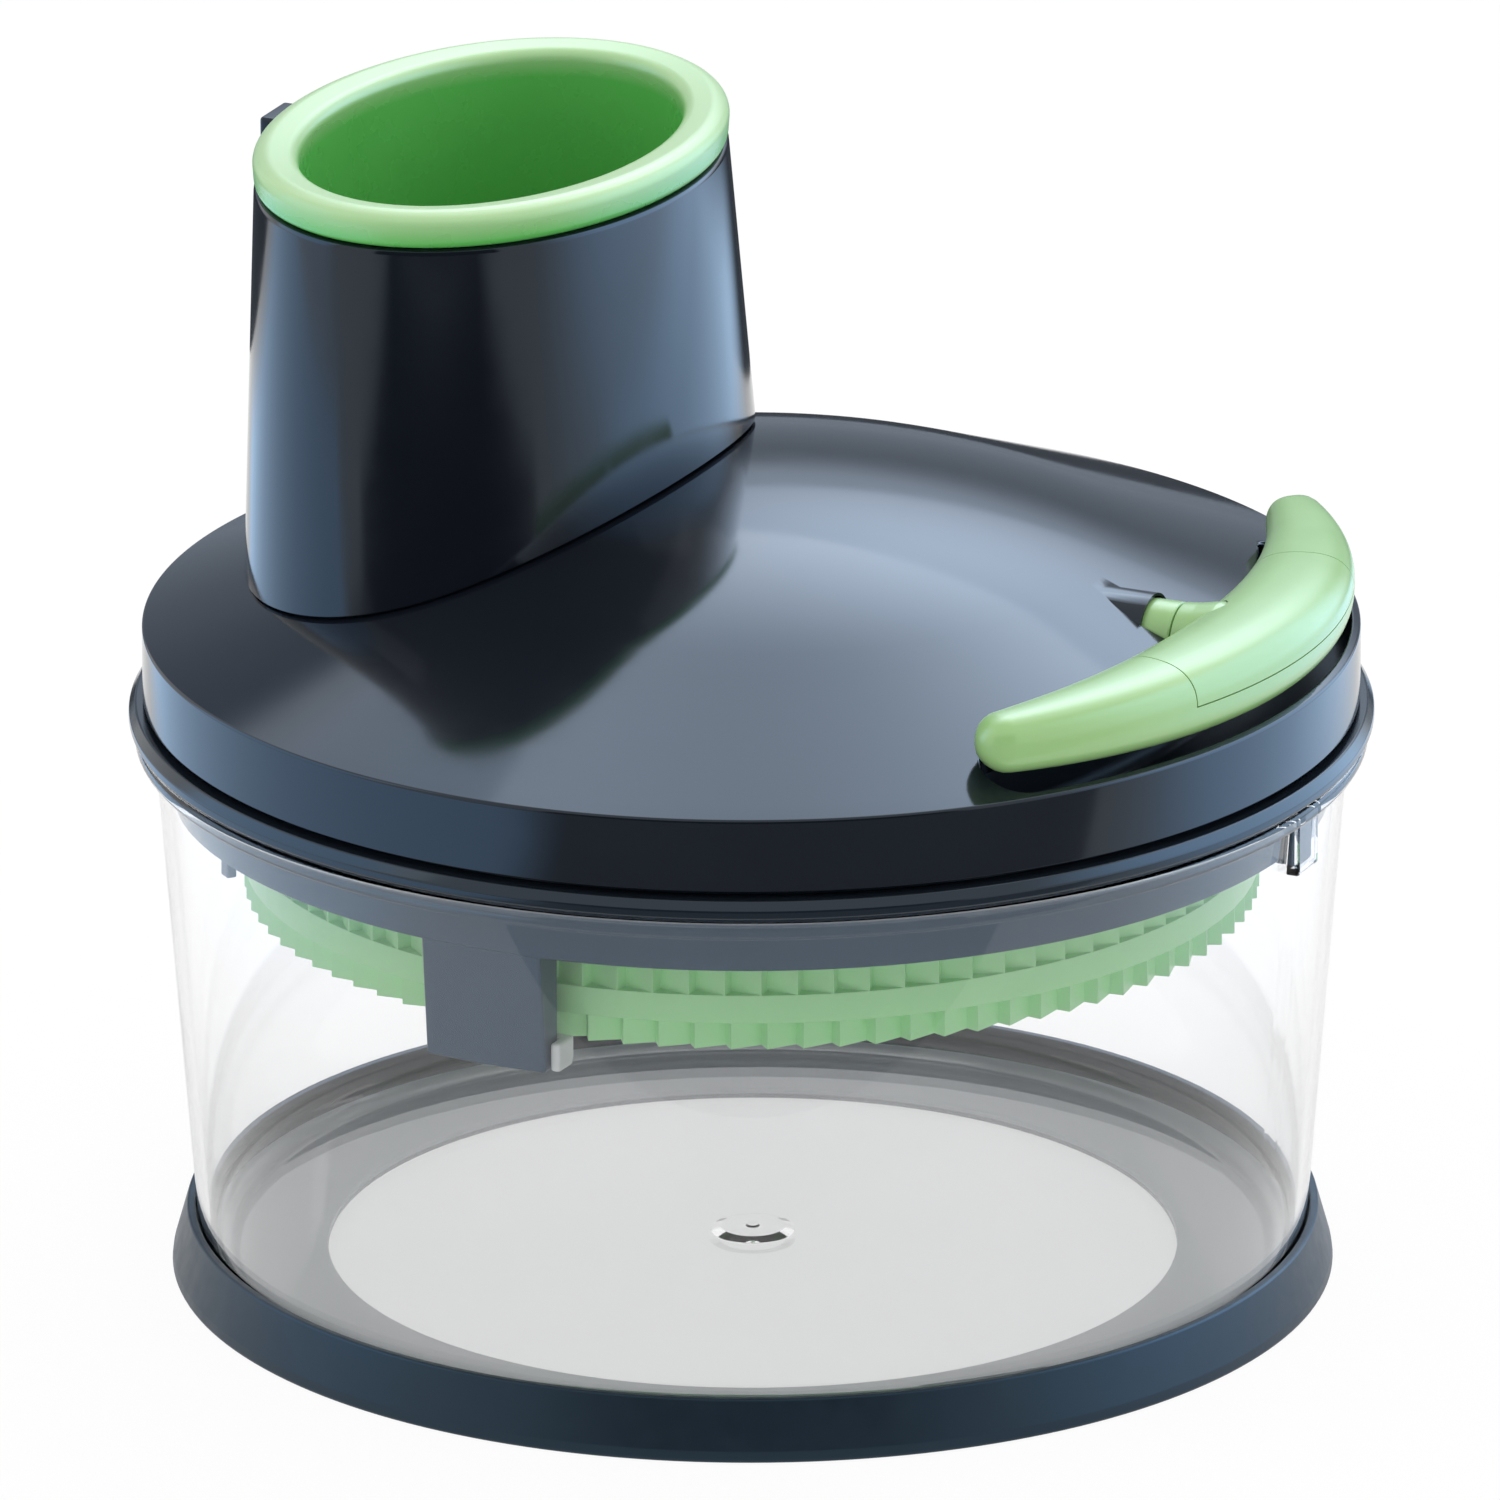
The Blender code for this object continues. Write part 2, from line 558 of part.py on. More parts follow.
def passage_plug(name, clearance, z_low, z_high):
    """Upright oval solid of the feed passage's outside, grown by a clearance."""
    sides = (PASSAGE_OUTER_X + clearance, PASSAGE_OUTER_Y + clearance)
    return lofted(name, [oval(*sides, z) for z in (z_low, z_high)])


def screw_places():
    """Centres of the six screws that hold the lid's halves together."""
    places = []
    for angle in SCREW_ANGLES:
        for side in (-1, 1):
            turn = math.radians(angle * side)
            places.append((SCREW_CIRCLE * math.cos(turn), SCREW_CIRCLE * math.sin(turn)))
    return places


def bridge_posts():
    """Centres of the three posts that carry the gear bridge, clear of the spool gear's teeth."""
    reach = SPOOL_GEAR_RADIUS + GEAR_MODULE + BRIDGE_POST_RADIUS + GEAR_MODULE
    places = []
    for angle in BRIDGE_POST_ANGLES:
        turn = math.radians(angle)
        places.append((SPOOL_X + reach * math.cos(turn), SPOOL_Y + reach * math.sin(turn)))
    return places


def build_lid_cover(navy):
    """Domed upper half of the lid with the handle's recess, the cord's hood and the screw bosses."""
    inner = COVER_RADIUS - COVER_WALL
    radii = dome_radii()
    profile = [(inner, COVER_BOTTOM_Z), (COVER_RADIUS, COVER_BOTTOM_Z), (COVER_RADIUS, EDGE_Z - EDGE_ROUND)]
    profile.append((COVER_RADIUS - EDGE_ROUND, EDGE_Z + EDGE_ROUND / 4))
    profile += [(r, dome_height(r)) for r in radii]
    profile += [(r, dome_height(r) - COVER_WALL) for r in reversed(radii)]
    profile.append((inner, dome_height(inner) - COVER_WALL))
    cover = turned("lid_cover", profile, navy)

    outer_wall = COVER_RADIUS - COVER_WALL / 2
    inner_wall = RECESS_INNER - RECESS_WALL
    under = RECESS_FLOOR_Z - RECESS_WALL
    spread = RECESS_HALF_ANGLE + math.degrees((RECESS_OUTER - RECESS_INNER) / (RECESS_OUTER + RECESS_INNER))
    rim_drop = COVER_WALL / 2
    trough = [(inner_wall, under), (outer_wall, under), (outer_wall, dome_height(outer_wall) - rim_drop)]
    trough.append((inner_wall, dome_height(inner_wall) - rim_drop))
    spread += RECESS_END_MARGIN
    shell = turned("recess_shell", trough, segments=RECESS_STEPS, sweep=2 * spread, start=-spread)
    join(cover, shell)
    top = dome_height(0.0)
    hollow = [(RECESS_INNER, RECESS_FLOOR_Z), (RECESS_OUTER, RECESS_FLOOR_Z), (RECESS_OUTER, top)]
    hollow.append((RECESS_INNER, top))
    cut(cover, turned("recess_hollow", hollow, segments=RECESS_STEPS, sweep=2 * RECESS_HALF_ANGLE,
                      start=-RECESS_HALF_ANGLE))
    middle = (RECESS_INNER + RECESS_OUTER) / 2
    for name, angle in (("recess_end_front", -RECESS_HALF_ANGLE), ("recess_end_rear", RECESS_HALF_ANGLE)):
        turn = math.radians(angle)
        place = (middle * math.cos(turn), middle * math.sin(turn))
        half = (RECESS_OUTER - RECESS_INNER) / 2 - GAP
        cut(cover, drum(name, half, RECESS_FLOOR_Z + GAP, top, place, segments=GRIP_SEGMENTS))

    hood_start = STEM_END_X - GUIDE_LENGTH
    join(cover, bar("hood", HOOD_RADIUS, hood_start, HOOD_MOUTH_X))
    cut(cover, bar("stem_way", HOOD_BORE, hood_start - COVER_WALL, RECESS_INNER + RECESS_WALL))
    cut(cover, block("stem_notch", (HOOD_MOUTH_X, -HOOD_BORE, HANDLE_Z),
                     (RECESS_INNER + GAP, HOOD_BORE, top)))
    cut(cover, passage_plug("chute_hole", GAP, COVER_BOTTOM_Z, top + COVER_WALL))

    boss_low = DECK_TOP_Z + GAP
    for i, place in enumerate(screw_places()):
        boss_top = dome_height(SCREW_CIRCLE) - COVER_WALL / 2
        boss = drum(f"screw_boss_{i}", BOSS_RADIUS, boss_low, boss_top, place)
        pilot = drum(f"screw_pilot_{i}", SCREW_RADIUS + GAP, boss_low - GAP, DECK_Z + SCREW_LENGTH + GAP,
                     place, segments=SCREW_SIDES)
        join(cover, boss)
        cut(cover, pilot)
    axle_reach = math.hypot(*SPOOL_CENTRE)
    socket_top = dome_height(axle_reach) - COVER_WALL
    join(cover, drum("axle_socket", SPOOL_AXLE_RADIUS + AXLE_SOCKET_WALL, axle_top() - 2 * COVER_WALL,
                     socket_top, SPOOL_CENTRE))
    cut(cover, drum("axle_socket_bore", SPOOL_AXLE_RADIUS + GAP, axle_top() - 3 * COVER_WALL,
                    axle_top() + GAP, SPOOL_CENTRE))


def axle_top():
    """Height of the spool axle's upper end, inside the cover's socket."""
    return spool_top() + 3 * COVER_WALL


def spool_top():
    """Height of the spool's upper face, one flange above the cord's exit."""
    return HANDLE_Z + CORD_RADIUS + 2 * GAP + SPOOL_FLANGE


def build_chute(navy):
    """Oval feed tower: a flared outer shell that stands on the dome and the passage inside it."""
    foot_z = COVER_BOTTOM_Z

    def shell_oval(inset, z):
        share = (z - foot_z) / (CHUTE_TOP_Z - foot_z)
        x_half = CHUTE_FOOT_X_HALF + (CHUTE_TOP_X_HALF - CHUTE_FOOT_X_HALF) * share - inset
        y_half = CHUTE_FOOT_Y_HALF + (CHUTE_TOP_Y_HALF - CHUTE_FOOT_Y_HALF) * share - inset
        return oval(x_half, y_half, z, CHUTE_FOOT_X + (CHUTE_X - CHUTE_FOOT_X) * share)

    chute = lofted("chute", [shell_oval(0.0, foot_z), shell_oval(0.0, CHUTE_TOP_Z)], navy)
    lid_z = CHUTE_TOP_Z - 4 * CHUTE_SHELL
    hollow = [shell_oval(CHUTE_SHELL, foot_z - GAP), shell_oval(CHUTE_SHELL, lid_z)]
    cut(chute, lofted("chute_hollow", hollow))
    stand = [(0.0, foot_z - COVER_WALL), (COVER_RADIUS, foot_z - COVER_WALL)]
    stand += [(r, dome_height(r) + GAP) for r in [COVER_RADIUS] + dome_radii()]
    cut(chute, turned("dome_stand", stand))
    join(chute, passage_plug("passage_tube", 0.0, PASSAGE_END_Z, CHUTE_TOP_Z - CHUTE_SHELL))
    outer_x = CHUTE_X - CHUTE_TOP_X_HALF
    ear = block("chute_ear", (outer_x - EAR_THICKNESS, -EAR_WIDTH / 2, EAR_TOP_Z - EAR_HEIGHT),
                (outer_x - GAP, EAR_WIDTH / 2, EAR_TOP_Z))
    ear_root = block("chute_ear_root", (outer_x - EAR_THICKNESS, -EAR_WIDTH / 2, EAR_TOP_Z - EAR_HEIGHT),
                     (outer_x + CHUTE_SHELL, EAR_WIDTH / 2, CHUTE_TOP_Z - GAP))
    join(chute, ear_root, ear)
    cut(chute, lofted("passage", [oval(PASSAGE_X_HALF, PASSAGE_Y_HALF, z)
                                  for z in (PASSAGE_END_Z - GAP, CHUTE_TOP_Z + GAP)]))


def build_pusher(green):
    """Hollow cup that fills the passage and covers the chute's top with a rounded flange."""
    x_half = PASSAGE_X_HALF - SLIDE_GAP
    y_half = PASSAGE_Y_HALF - SLIDE_GAP
    flange_z = CHUTE_TOP_Z + GAP
    top = flange_z + PUSHER_FLANGE_HEIGHT
    rings = [oval(x_half - PUSHER_DRAFT, y_half - PUSHER_DRAFT, PUSHER_BOTTOM_Z)]
    rings.append(oval(x_half, y_half, flange_z))
    bulge = PUSHER_FLANGE_HEIGHT / 2
    for share, rise in PUSHER_FLANGE_ROUNDING:
        rings.append(oval(PUSHER_FLANGE_X_HALF + share * bulge, PUSHER_FLANGE_Y_HALF + share * bulge,
                          flange_z + rise * PUSHER_FLANGE_HEIGHT))
    rings.append(oval(x_half - PUSHER_WALL + bulge / 2, y_half - PUSHER_WALL + bulge / 2, top))
    rings.append(oval(x_half - PUSHER_WALL, y_half - PUSHER_WALL, top - bulge / 2))
    inset = PUSHER_DRAFT + PUSHER_WALL
    rings.append(oval(x_half - inset, y_half - inset, PUSHER_BOTTOM_Z + PUSHER_WALL))
    lofted("pusher", rings, green)


def handle_solid(name, material=None):
    """Crescent that tapers to round ends, lofted along an arc over the recess."""
    stations = [(share / 8, 1.0) for share in range(-8, 9)]
    tip = math.degrees(HANDLE_TIP_WIDTH / 2 / HANDLE_TIP_RADIUS) / HANDLE_HALF_ANGLE
    for degrees in HANDLE_TIP_ROUNDING:
        turn = math.radians(degrees)
        stations.insert(0, (-1 - tip * math.sin(turn), math.cos(turn)))
        stations.append((1 + tip * math.sin(turn), math.cos(turn)))
    rings = []
    for share, shrink in stations:
        bulk = max(0.0, math.cos(min(1.0, abs(share)) * math.pi / 2)) ** HANDLE_FULLNESS
        turn = math.radians(share * HANDLE_HALF_ANGLE)
        width = HANDLE_TIP_WIDTH + (HANDLE_MIDDLE_WIDTH - HANDLE_TIP_WIDTH) * bulk
        height = HANDLE_TIP_HEIGHT + (HANDLE_MIDDLE_HEIGHT - HANDLE_TIP_HEIGHT) * bulk
        radius = HANDLE_TIP_RADIUS + (HANDLE_MIDDLE_RADIUS - HANDLE_TIP_RADIUS) * bulk
        ring = []
        for i in range(GRIP_SEGMENTS):
            angle = 2 * math.pi * i / GRIP_SEGMENTS
            across = radius + width / 2 * shrink * math.cos(angle)
            z = HANDLE_Z + height / 2 * shrink * math.sin(angle)
            ring.append((across * math.cos(turn), across * math.sin(turn), z))
        rings.append(ring)
    return lofted(name, rings, material)


def cap_wedge(name, shrink):
    """Sector that splits the cap off the grip; shrink is taken off each face."""
    inner = HANDLE_MIDDLE_RADIUS - HANDLE_MIDDLE_WIDTH
    outer = HANDLE_MIDDLE_RADIUS + HANDLE_MIDDLE_WIDTH
    spread = CAP_HALF_ANGLE - math.degrees(shrink / inner)
    low = HANDLE_Z + CAP_SPLIT + shrink
    high = low + HANDLE_MIDDLE_HEIGHT
    profile = [(inner, low), (outer, low), (outer, high), (inner, high)]
    return turned(name, profile, segments=CAP_STEPS, sweep=2 * spread, start=-spread)


def build_handle(green, nylon, cord_finish):
    """Pull handle: grip with its stem, cap over the knot, sleeve, knot and the cord's straight run."""
    grip = handle_solid("handle_grip", green)
    cut(grip, cap_wedge("cap_seat", 0.0))
    stem_root = HANDLE_MIDDLE_RADIUS - HANDLE_MIDDLE_WIDTH / 4
    join(grip, bar("grip_stem", STEM_RADIUS, STEM_SEAM_X, stem_root))
    knot_room = drum("knot_room", KNOT_RADIUS + 2 * GAP, HANDLE_Z - KNOT_RADIUS - 2 * GAP,
                     HANDLE_Z + HANDLE_MIDDLE_HEIGHT, (KNOT_X, 0.0))
    cord_way = bar("cord_way", CORD_RADIUS + GAP, STEM_SEAM_X - GAP, KNOT_X, segments=CORD_SIDES)
    cut(grip, knot_room, cord_way)
    cap = handle_solid("handle_cap", green)
    combine(cap, cap_wedge("cap_body", GAP), "INTERSECT")
    cut(cap, bar("stem_relief", STEM_RADIUS + GAP, STEM_END_X, stem_root + GAP))
    cut(cap, bar("cord_relief", CORD_RADIUS + GAP, STEM_END_X, KNOT_X, segments=CORD_SIDES))
    cut(cap, drum("knot_headroom", KNOT_RADIUS + 2 * GAP, HANDLE_Z - KNOT_RADIUS,
                  HANDLE_Z + KNOT_RADIUS + 2 * GAP, (KNOT_X, 0.0)))

    sleeve = bar("stem_sleeve", STEM_RADIUS, STEM_END_X, STEM_SEAM_X - GAP, green)
    cut(sleeve, bar("sleeve_bore", CORD_RADIUS + GAP, STEM_END_X - GAP, STEM_SEAM_X, segments=CORD_SIDES))
    guide_low = STEM_END_X - GUIDE_LENGTH + GAP
    guide = bar("cord_guide", HOOD_BORE - GAP, guide_low, STEM_END_X - GAP, nylon)
    cut(guide, bar("guide_bore", CORD_RADIUS + GAP, guide_low - GAP, STEM_END_X, segments=CORD_SIDES))
    cord_end = KNOT_X - KNOT_RADIUS - GAP
    bar("pull_cord", CORD_RADIUS, SPOOL_X + GAP, cord_end, cord_finish, segments=CORD_SIDES)
    rings = []
    for step in range(1, CORD_SIDES - 1):
        angle = math.pi * step / (CORD_SIDES - 1)
        offset = -KNOT_RADIUS * math.cos(angle)
        ring = circle(KNOT_RADIUS * math.sin(angle), segments=CORD_SIDES)
        rings.append([(KNOT_X + offset, y, HANDLE_Z + z) for y, z in ring])
    lofted("cord_knot", rings, cord_finish)


def build_gear_train(nylon, steel, slate, cord_finish):
    """Spool, gears, axle, recoil spring, bridge and clutch under the dome."""
    line = math.degrees(math.atan2(SPOOL_Y, SPOOL_X))
    half_pitch = 180.0 / PINION_TEETH
    gear_top = GEAR_Z + GEAR_THICKNESS
    pinion_teeth = gear_outline(PINION_TEETH, (0.0, 0.0), line + half_pitch)
    pinion = plate("pinion", pinion_teeth, GEAR_Z, gear_top, nylon)
    cut(pinion, drum("pinion_bore", SHAFT_RADIUS + GAP, GEAR_Z - GAP, gear_top + GAP))
    wheel_teeth = gear_outline(SPOOL_GEAR_TEETH, SPOOL_CENTRE, line + 180.0)
    wheel = plate("spool_gear", wheel_teeth, GEAR_Z, gear_top, nylon)
    bore = SPOOL_AXLE_RADIUS + RUNNING_GAP
    join(wheel, drum("spool_gear_hub", SPOOL_HUB_RADIUS, GEAR_Z + GAP, SPOOL_Z - GAP, SPOOL_CENTRE))
    cut(wheel, drum("spool_gear_bore", bore, GEAR_Z - GAP, SPOOL_Z, SPOOL_CENTRE))
    clutch_top = SPOOL_Z - GAP
    clutch_low = gear_top - GEAR_THICKNESS / 4
    ratchet = []
    for tooth in range(CLUTCH_TEETH):
        for depth, lean in ((3 * GAP, 0.0), (6 * GAP, CLUTCH_TOOTH_LEAN)):
            radius = SPOOL_HUB_RADIUS - depth
            turn = 2 * math.pi * (tooth + lean) / CLUTCH_TEETH
            ratchet.append((SPOOL_X + radius * math.cos(turn), SPOOL_Y + radius * math.sin(turn)))
    clutch = plate("clutch_ratchet", ratchet, clutch_low, clutch_top, steel)
    cut(clutch, drum("clutch_bore", bore, clutch_low - GAP, clutch_top + GAP, SPOOL_CENTRE))
    cut(wheel, drum("clutch_room", SPOOL_HUB_RADIUS - 2 * GAP, clutch_low - GAP, SPOOL_Z, SPOOL_CENTRE))

    top = spool_top()
    core_in = SPOOL_CORE_RADIUS - SPOOL_WALL
    floor_top = SPOOL_Z + SPOOL_FLANGE
    profile = [(bore, SPOOL_Z), (SPOOL_FLANGE_RADIUS, SPOOL_Z), (SPOOL_FLANGE_RADIUS, floor_top)]
    profile += [(SPOOL_CORE_RADIUS, floor_top), (SPOOL_CORE_RADIUS, top - SPOOL_FLANGE)]
    profile += [(SPOOL_FLANGE_RADIUS, top - SPOOL_FLANGE), (SPOOL_FLANGE_RADIUS, top), (core_in, top)]
    profile += [(core_in, floor_top), (bore, floor_top)]
    turned("cord_spool", profile, nylon, SPOOL_CENTRE, segments=SPOOL_SEGMENTS)
    coil_in = SPOOL_CORE_RADIUS + GAP
    coil_out = WINDING_RADIUS - CORD_RADIUS - GAP
    coil_top = top - SPOOL_FLANGE - GAP
    coil_low = coil_top - 6 * CORD_RADIUS
    coil = [(coil_in, coil_low), (coil_out, coil_low), (coil_out, coil_top), (coil_in, coil_top)]
    turned("cord_winding", coil, cord_finish, SPOOL_CENTRE, segments=SPOOL_SEGMENTS)
    axle_low = DECK_Z + DECK_THICKNESS / 3 + GAP
    drum("spool_axle", SPOOL_AXLE_RADIUS, axle_low, axle_top(), SPOOL_CENTRE, steel)

    spring_in = SPOOL_AXLE_RADIUS + GAP
    spring_out = core_in - GAP - SPRING_STRIP
    spring_steps = SPRING_TURNS * SPRING_STEPS
    outer = []
    inner = []
    for step in range(spring_steps + 1):
        turn = 2 * math.pi * step / SPRING_STEPS
        radius = spring_in + (spring_out - spring_in) * step / spring_steps
        for side, reach in ((inner, radius), (outer, radius + SPRING_STRIP)):
            side.append((SPOOL_X + reach * math.cos(turn), SPOOL_Y + reach * math.sin(turn)))
    plate("recoil_spring", inner + outer[::-1], floor_top + GAP, top - SPOOL_FLANGE, steel)

    reach = SPOOL_GEAR_RADIUS + 2 * GEAR_MODULE
    bridge_top = BRIDGE_Z + BRIDGE_THICKNESS
    bridge = drum("gear_bridge", reach, BRIDGE_Z, bridge_top, SPOOL_CENTRE, slate, SPOOL_SEGMENTS)
    join(bridge, drum("bridge_nose", PINION_RADIUS, BRIDGE_Z + GAP, bridge_top - GAP))
    for i, place in enumerate(bridge_posts()):
        join(bridge, drum(f"bridge_ear_{i}", BRIDGE_EAR_RADIUS, BRIDGE_Z + GAP, bridge_top - GAP, place))
        cut(bridge, drum(f"bridge_hole_{i}", BRIDGE_SCREW_RADIUS + GAP, BRIDGE_Z - GAP, bridge_top + GAP,
                         place, segments=SCREW_SIDES))
    hub_hole = SPOOL_HUB_RADIUS + RUNNING_GAP
    cut(bridge, drum("bridge_hub_hole", hub_hole, BRIDGE_Z - GAP, bridge_top + GAP, SPOOL_CENTRE))
    cut(bridge, drum("bridge_shaft_hole", SHAFT_RADIUS + RUNNING_GAP, BRIDGE_Z - GAP, bridge_top + GAP))
    screws("bridge_screw", bridge_posts(), bridge_top + GAP, 1, BRIDGE_SCREW_RADIUS,
           BRIDGE_POST_RADIUS - GAP, SCREW_HEAD_HEIGHT / 2, BRIDGE_THICKNESS * 3, steel)
    screws("lid_screw", screw_places(), DECK_Z - GAP, -1, SCREW_RADIUS, SCREW_HEAD_RADIUS,
           SCREW_HEAD_HEIGHT, SCREW_LENGTH, steel)


def screws(name, places, seat_z, head_side, radius, head_radius, head_height, length, steel):
    """Identical screws, one at each place; head_side is 1 for heads up and -1 for heads down."""
    levels = [(head_radius * 0.7, head_height), (head_radius, head_height / 2), (head_radius, 0.0)]
    levels += [(radius, 0.0), (radius, -length)]
    for number, place in enumerate(places, start=1):
        rings = []
        for reach, z in levels:
            ring = circle(reach, place, SCREW_SIDES)
            rings.append([(x, y, seat_z + head_side * z) for x, y in ring])
        lofted(f"{name}_{number}", rings, steel)


def build_rotor(green, nylon, steel, slate, brass):
    """Toothed carrier ring with spokes, cutting disc, blade, shaft, bush, clip and lock knob."""
    inner = ROTOR_RADIUS - ROTOR_WALL
    deep = ROTOR_RADIUS - TOOTH_DEPTH
    band_z = ROTOR_TOP_Z - TOP_BAND
    levels = [((ROTOR_RADIUS, deep), ROTOR_BOTTOM_Z), ((ROTOR_RADIUS, deep), LOWER_TEETH_Z)]
    levels += [((ROTOR_RADIUS, ROTOR_RADIUS), LOWER_TEETH_Z), ((ROTOR_RADIUS, ROTOR_RADIUS), UPPER_TEETH_Z)]
    levels += [((deep, ROTOR_RADIUS), UPPER_TEETH_Z), ((deep, ROTOR_RADIUS), band_z)]
    levels += [((ROTOR_RADIUS, ROTOR_RADIUS), band_z), ((ROTOR_RADIUS, ROTOR_RADIUS), ROTOR_TOP_Z)]
    levels += [((inner, inner), ROTOR_TOP_Z), ((inner, inner), ROTOR_BOTTOM_Z)]
    bm = bmesh.new()
    rows = []
    for radii, z in levels:
        row = []
        for tooth in range(ROTOR_TEETH):
            for radius, share in zip(radii, TOOTH_SHARES):
                turn = 2 * math.pi * (tooth + share) / ROTOR_TEETH
                row.append(bm.verts.new((radius * math.cos(turn), radius * math.sin(turn), z)))
        rows.append(row)
    count = 2 * ROTOR_TEETH
    for lower, upper in zip(rows, rows[1:] + rows[:1]):
        for i in range(count):
            bm.faces.new((lower[i], lower[(i + 1) % count], upper[(i + 1) % count], upper[i]))
    bmesh.ops.remove_doubles(bm, verts=bm.verts, dist=1e-6)
    bmesh.ops.dissolve_degenerate(bm, edges=bm.edges, dist=1e-6)
    bmesh.ops.recalc_face_normals(bm, faces=bm.faces)
    carrier = add_object("disc_carrier", bm, green)
    spoke_low = DISC_Z - SPOKE_HEIGHT
    for i in range(SPOKES):
        spoke = block(f"spoke_{i}", (HUB_RADIUS * 0.6, -SPOKE_WIDTH / 2, spoke_low),
                      (inner + ROTOR_WALL * 0.3, SPOKE_WIDTH / 2, DISC_Z - GAP), 90 + i * 360 / SPOKES)
        join(carrier, spoke)
    join(carrier, drum("carrier_hub", HUB_RADIUS, HUB_BOTTOM_Z, ROTOR_TOP_Z, segments=24))
    cut(carrier, drum("hub_bore", SHAFT_RADIUS + GAP, HUB_BOTTOM_Z - GAP, ROTOR_TOP_Z + GAP))

    disc_top = DISC_Z + DISC_THICKNESS
    disc_in = HUB_RADIUS + GAP
    disc_out = inner - GAP
    profile = [(disc_in, DISC_Z), (disc_out, DISC_Z), (disc_out, disc_top), (disc_in, disc_top)]
    disc = turned("cutting_disc", profile, steel, segments=48)
    blade_start = HUB_RADIUS + BLADE_WIDTH / 2
    blade_end = disc_out - BLADE_INSET
    slot = block("blade_slot", (blade_start, -BLADE_WIDTH / 2, DISC_Z - GAP),
                 (blade_end, 0.0, disc_top + GAP), -90.0)
    cut(disc, slot)
    half = BLADE_WIDTH / 2
    blade_z = disc_top + GAP
    corners = ((-half, blade_z + BLADE_THICKNESS), (0.0, blade_z), (half, blade_z),
               (half, blade_z + BLADE_THICKNESS), (0.0, blade_z + BLADE_THICKNESS),
               (-half, blade_z + 1.5 * BLADE_THICKNESS))
    rings = [[(x, y, z) for y, z in corners] for x in (blade_start, blade_end)]
    blade = lofted("slicing_blade", rings, steel)
    blade.data.transform(Matrix.Rotation(math.radians(-90), 4, "Z"))

    gear_top = GEAR_Z + GEAR_THICKNESS
    clip_z = BRIDGE_Z + BRIDGE_THICKNESS + GAP
    drum("drive_shaft", SHAFT_RADIUS, HUB_BOTTOM_Z - KNOB_GRIP, clip_z + 3 * GAP, material=steel)
    knob_top = HUB_BOTTOM_Z - GAP
    knob = drum("lock_knob", KNOB_RADIUS, knob_top - KNOB_HEIGHT, knob_top, material=slate)
    cut(knob, drum("knob_bore", SHAFT_RADIUS + GAP, HUB_BOTTOM_Z - KNOB_GRIP - GAP, HUB_BOTTOM_Z))
    bush_in = SHAFT_RADIUS + GAP
    bush_out = BORE_RADIUS - GAP
    flange_top = DECK_Z - GAP
    flange_low = flange_top - BUSH_FLANGE_HEIGHT
    bush = [(bush_in, flange_low), (BORE_RADIUS + BUSH_FLANGE, flange_low)]
    bush += [(BORE_RADIUS + BUSH_FLANGE, flange_top), (bush_out, flange_top)]
    bush += [(bush_out, GEAR_Z - GAP), (bush_in, GEAR_Z - GAP)]
    turned("shaft_bush", bush, brass, segments=SMALL_SEGMENTS)
    clip = drum("shaft_collar", SHAFT_RADIUS + COLLAR_WALL, gear_top + GAP, BRIDGE_Z - GAP, material=steel)
    cut(clip, drum("collar_bore", SHAFT_RADIUS + GAP, gear_top, BRIDGE_Z))

    build_pads(nylon)


def build_pads(nylon):
    """Two glide pads, one on each leg: a shelf that the rotor's rim runs over and a tab beside the leg."""
    low = ROTOR_BOTTOM_Z - GAP - PAD_THICKNESS
    outer = LEG_INNER - GAP
    half = LEG_WIDTH / 2 - PAD_INSET
    tab_start = LEG_WIDTH / 2 + GAP
    tab_end = LEG_WIDTH / 2 + PAD_OVERHANG
    reach = LEG_OUTER - PAD_INSET
    for name, angle in zip(("glide_pad_front", "glide_pad_rear"), LEG_ANGLES):
        pad = block(name, (ROTOR_RADIUS - 2 * TOOTH_DEPTH, -half, low), (outer, half, low + PAD_THICKNESS),
                    angle, nylon)
        upright = block(name + "_upright", (outer - PAD_THICKNESS, -half + GAP, low + GAP),
                        (outer - GAP, tab_end - GAP, low + PAD_TAB_HEIGHT), angle)
        tab = block(name + "_tab", (outer - PAD_THICKNESS / 2, tab_start, low - GAP),
                    (reach, tab_end, low + PAD_TAB_HEIGHT - GAP), angle)
        join(pad, upright, tab)


def main():
    """Clear the scene and build every piece."""
    for obj in list(bpy.data.objects):
        bpy.data.objects.remove(obj)
    clear = finish("clear_plastic", (0.93, 0.94, 0.95), 0.05, alpha=0.3)
    rubber = finish("navy_rubber", (0.03, 0.05, 0.08), 0.6)
    navy = finish("gloss_navy", (0.012, 0.018, 0.03), 0.08)
    slate = finish("slate_plastic", (0.10, 0.13, 0.17), 0.35)
    green = finish("light_green", (0.30, 0.60, 0.22), 0.25)
    nylon = finish("white_nylon", (0.85, 0.87, 0.86), 0.4)
    steel = finish("steel", (0.62, 0.62, 0.62), 0.25, metallic=1.0)
    brass = finish("sintered_bronze", (0.45, 0.30, 0.14), 0.45, metallic=1.0)
    cord_finish = finish("braided_cord", (0.75, 0.76, 0.74), 0.8)
    build_base_ring(rubber)
    build_bowl(clear)
    build_lid_base(slate)
    build_lid_cover(navy)
    build_chute(navy)
    build_pusher(green)
    build_handle(green, nylon, cord_finish)
    build_gear_train(nylon, steel, slate, cord_finish)
    build_rotor(green, nylon, steel, slate, brass)


main()
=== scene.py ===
"""Dressed model of a pull-cord food processor: a clear bowl, a geared lid, a feed chute and a pull handle.

Every length is in metres. +Z is up, +X points at the pull handle and the chute stands over -X.
"""

import logging
import math
from dataclasses import dataclass, field
from enum import Enum
from typing import Callable, Optional, Sequence

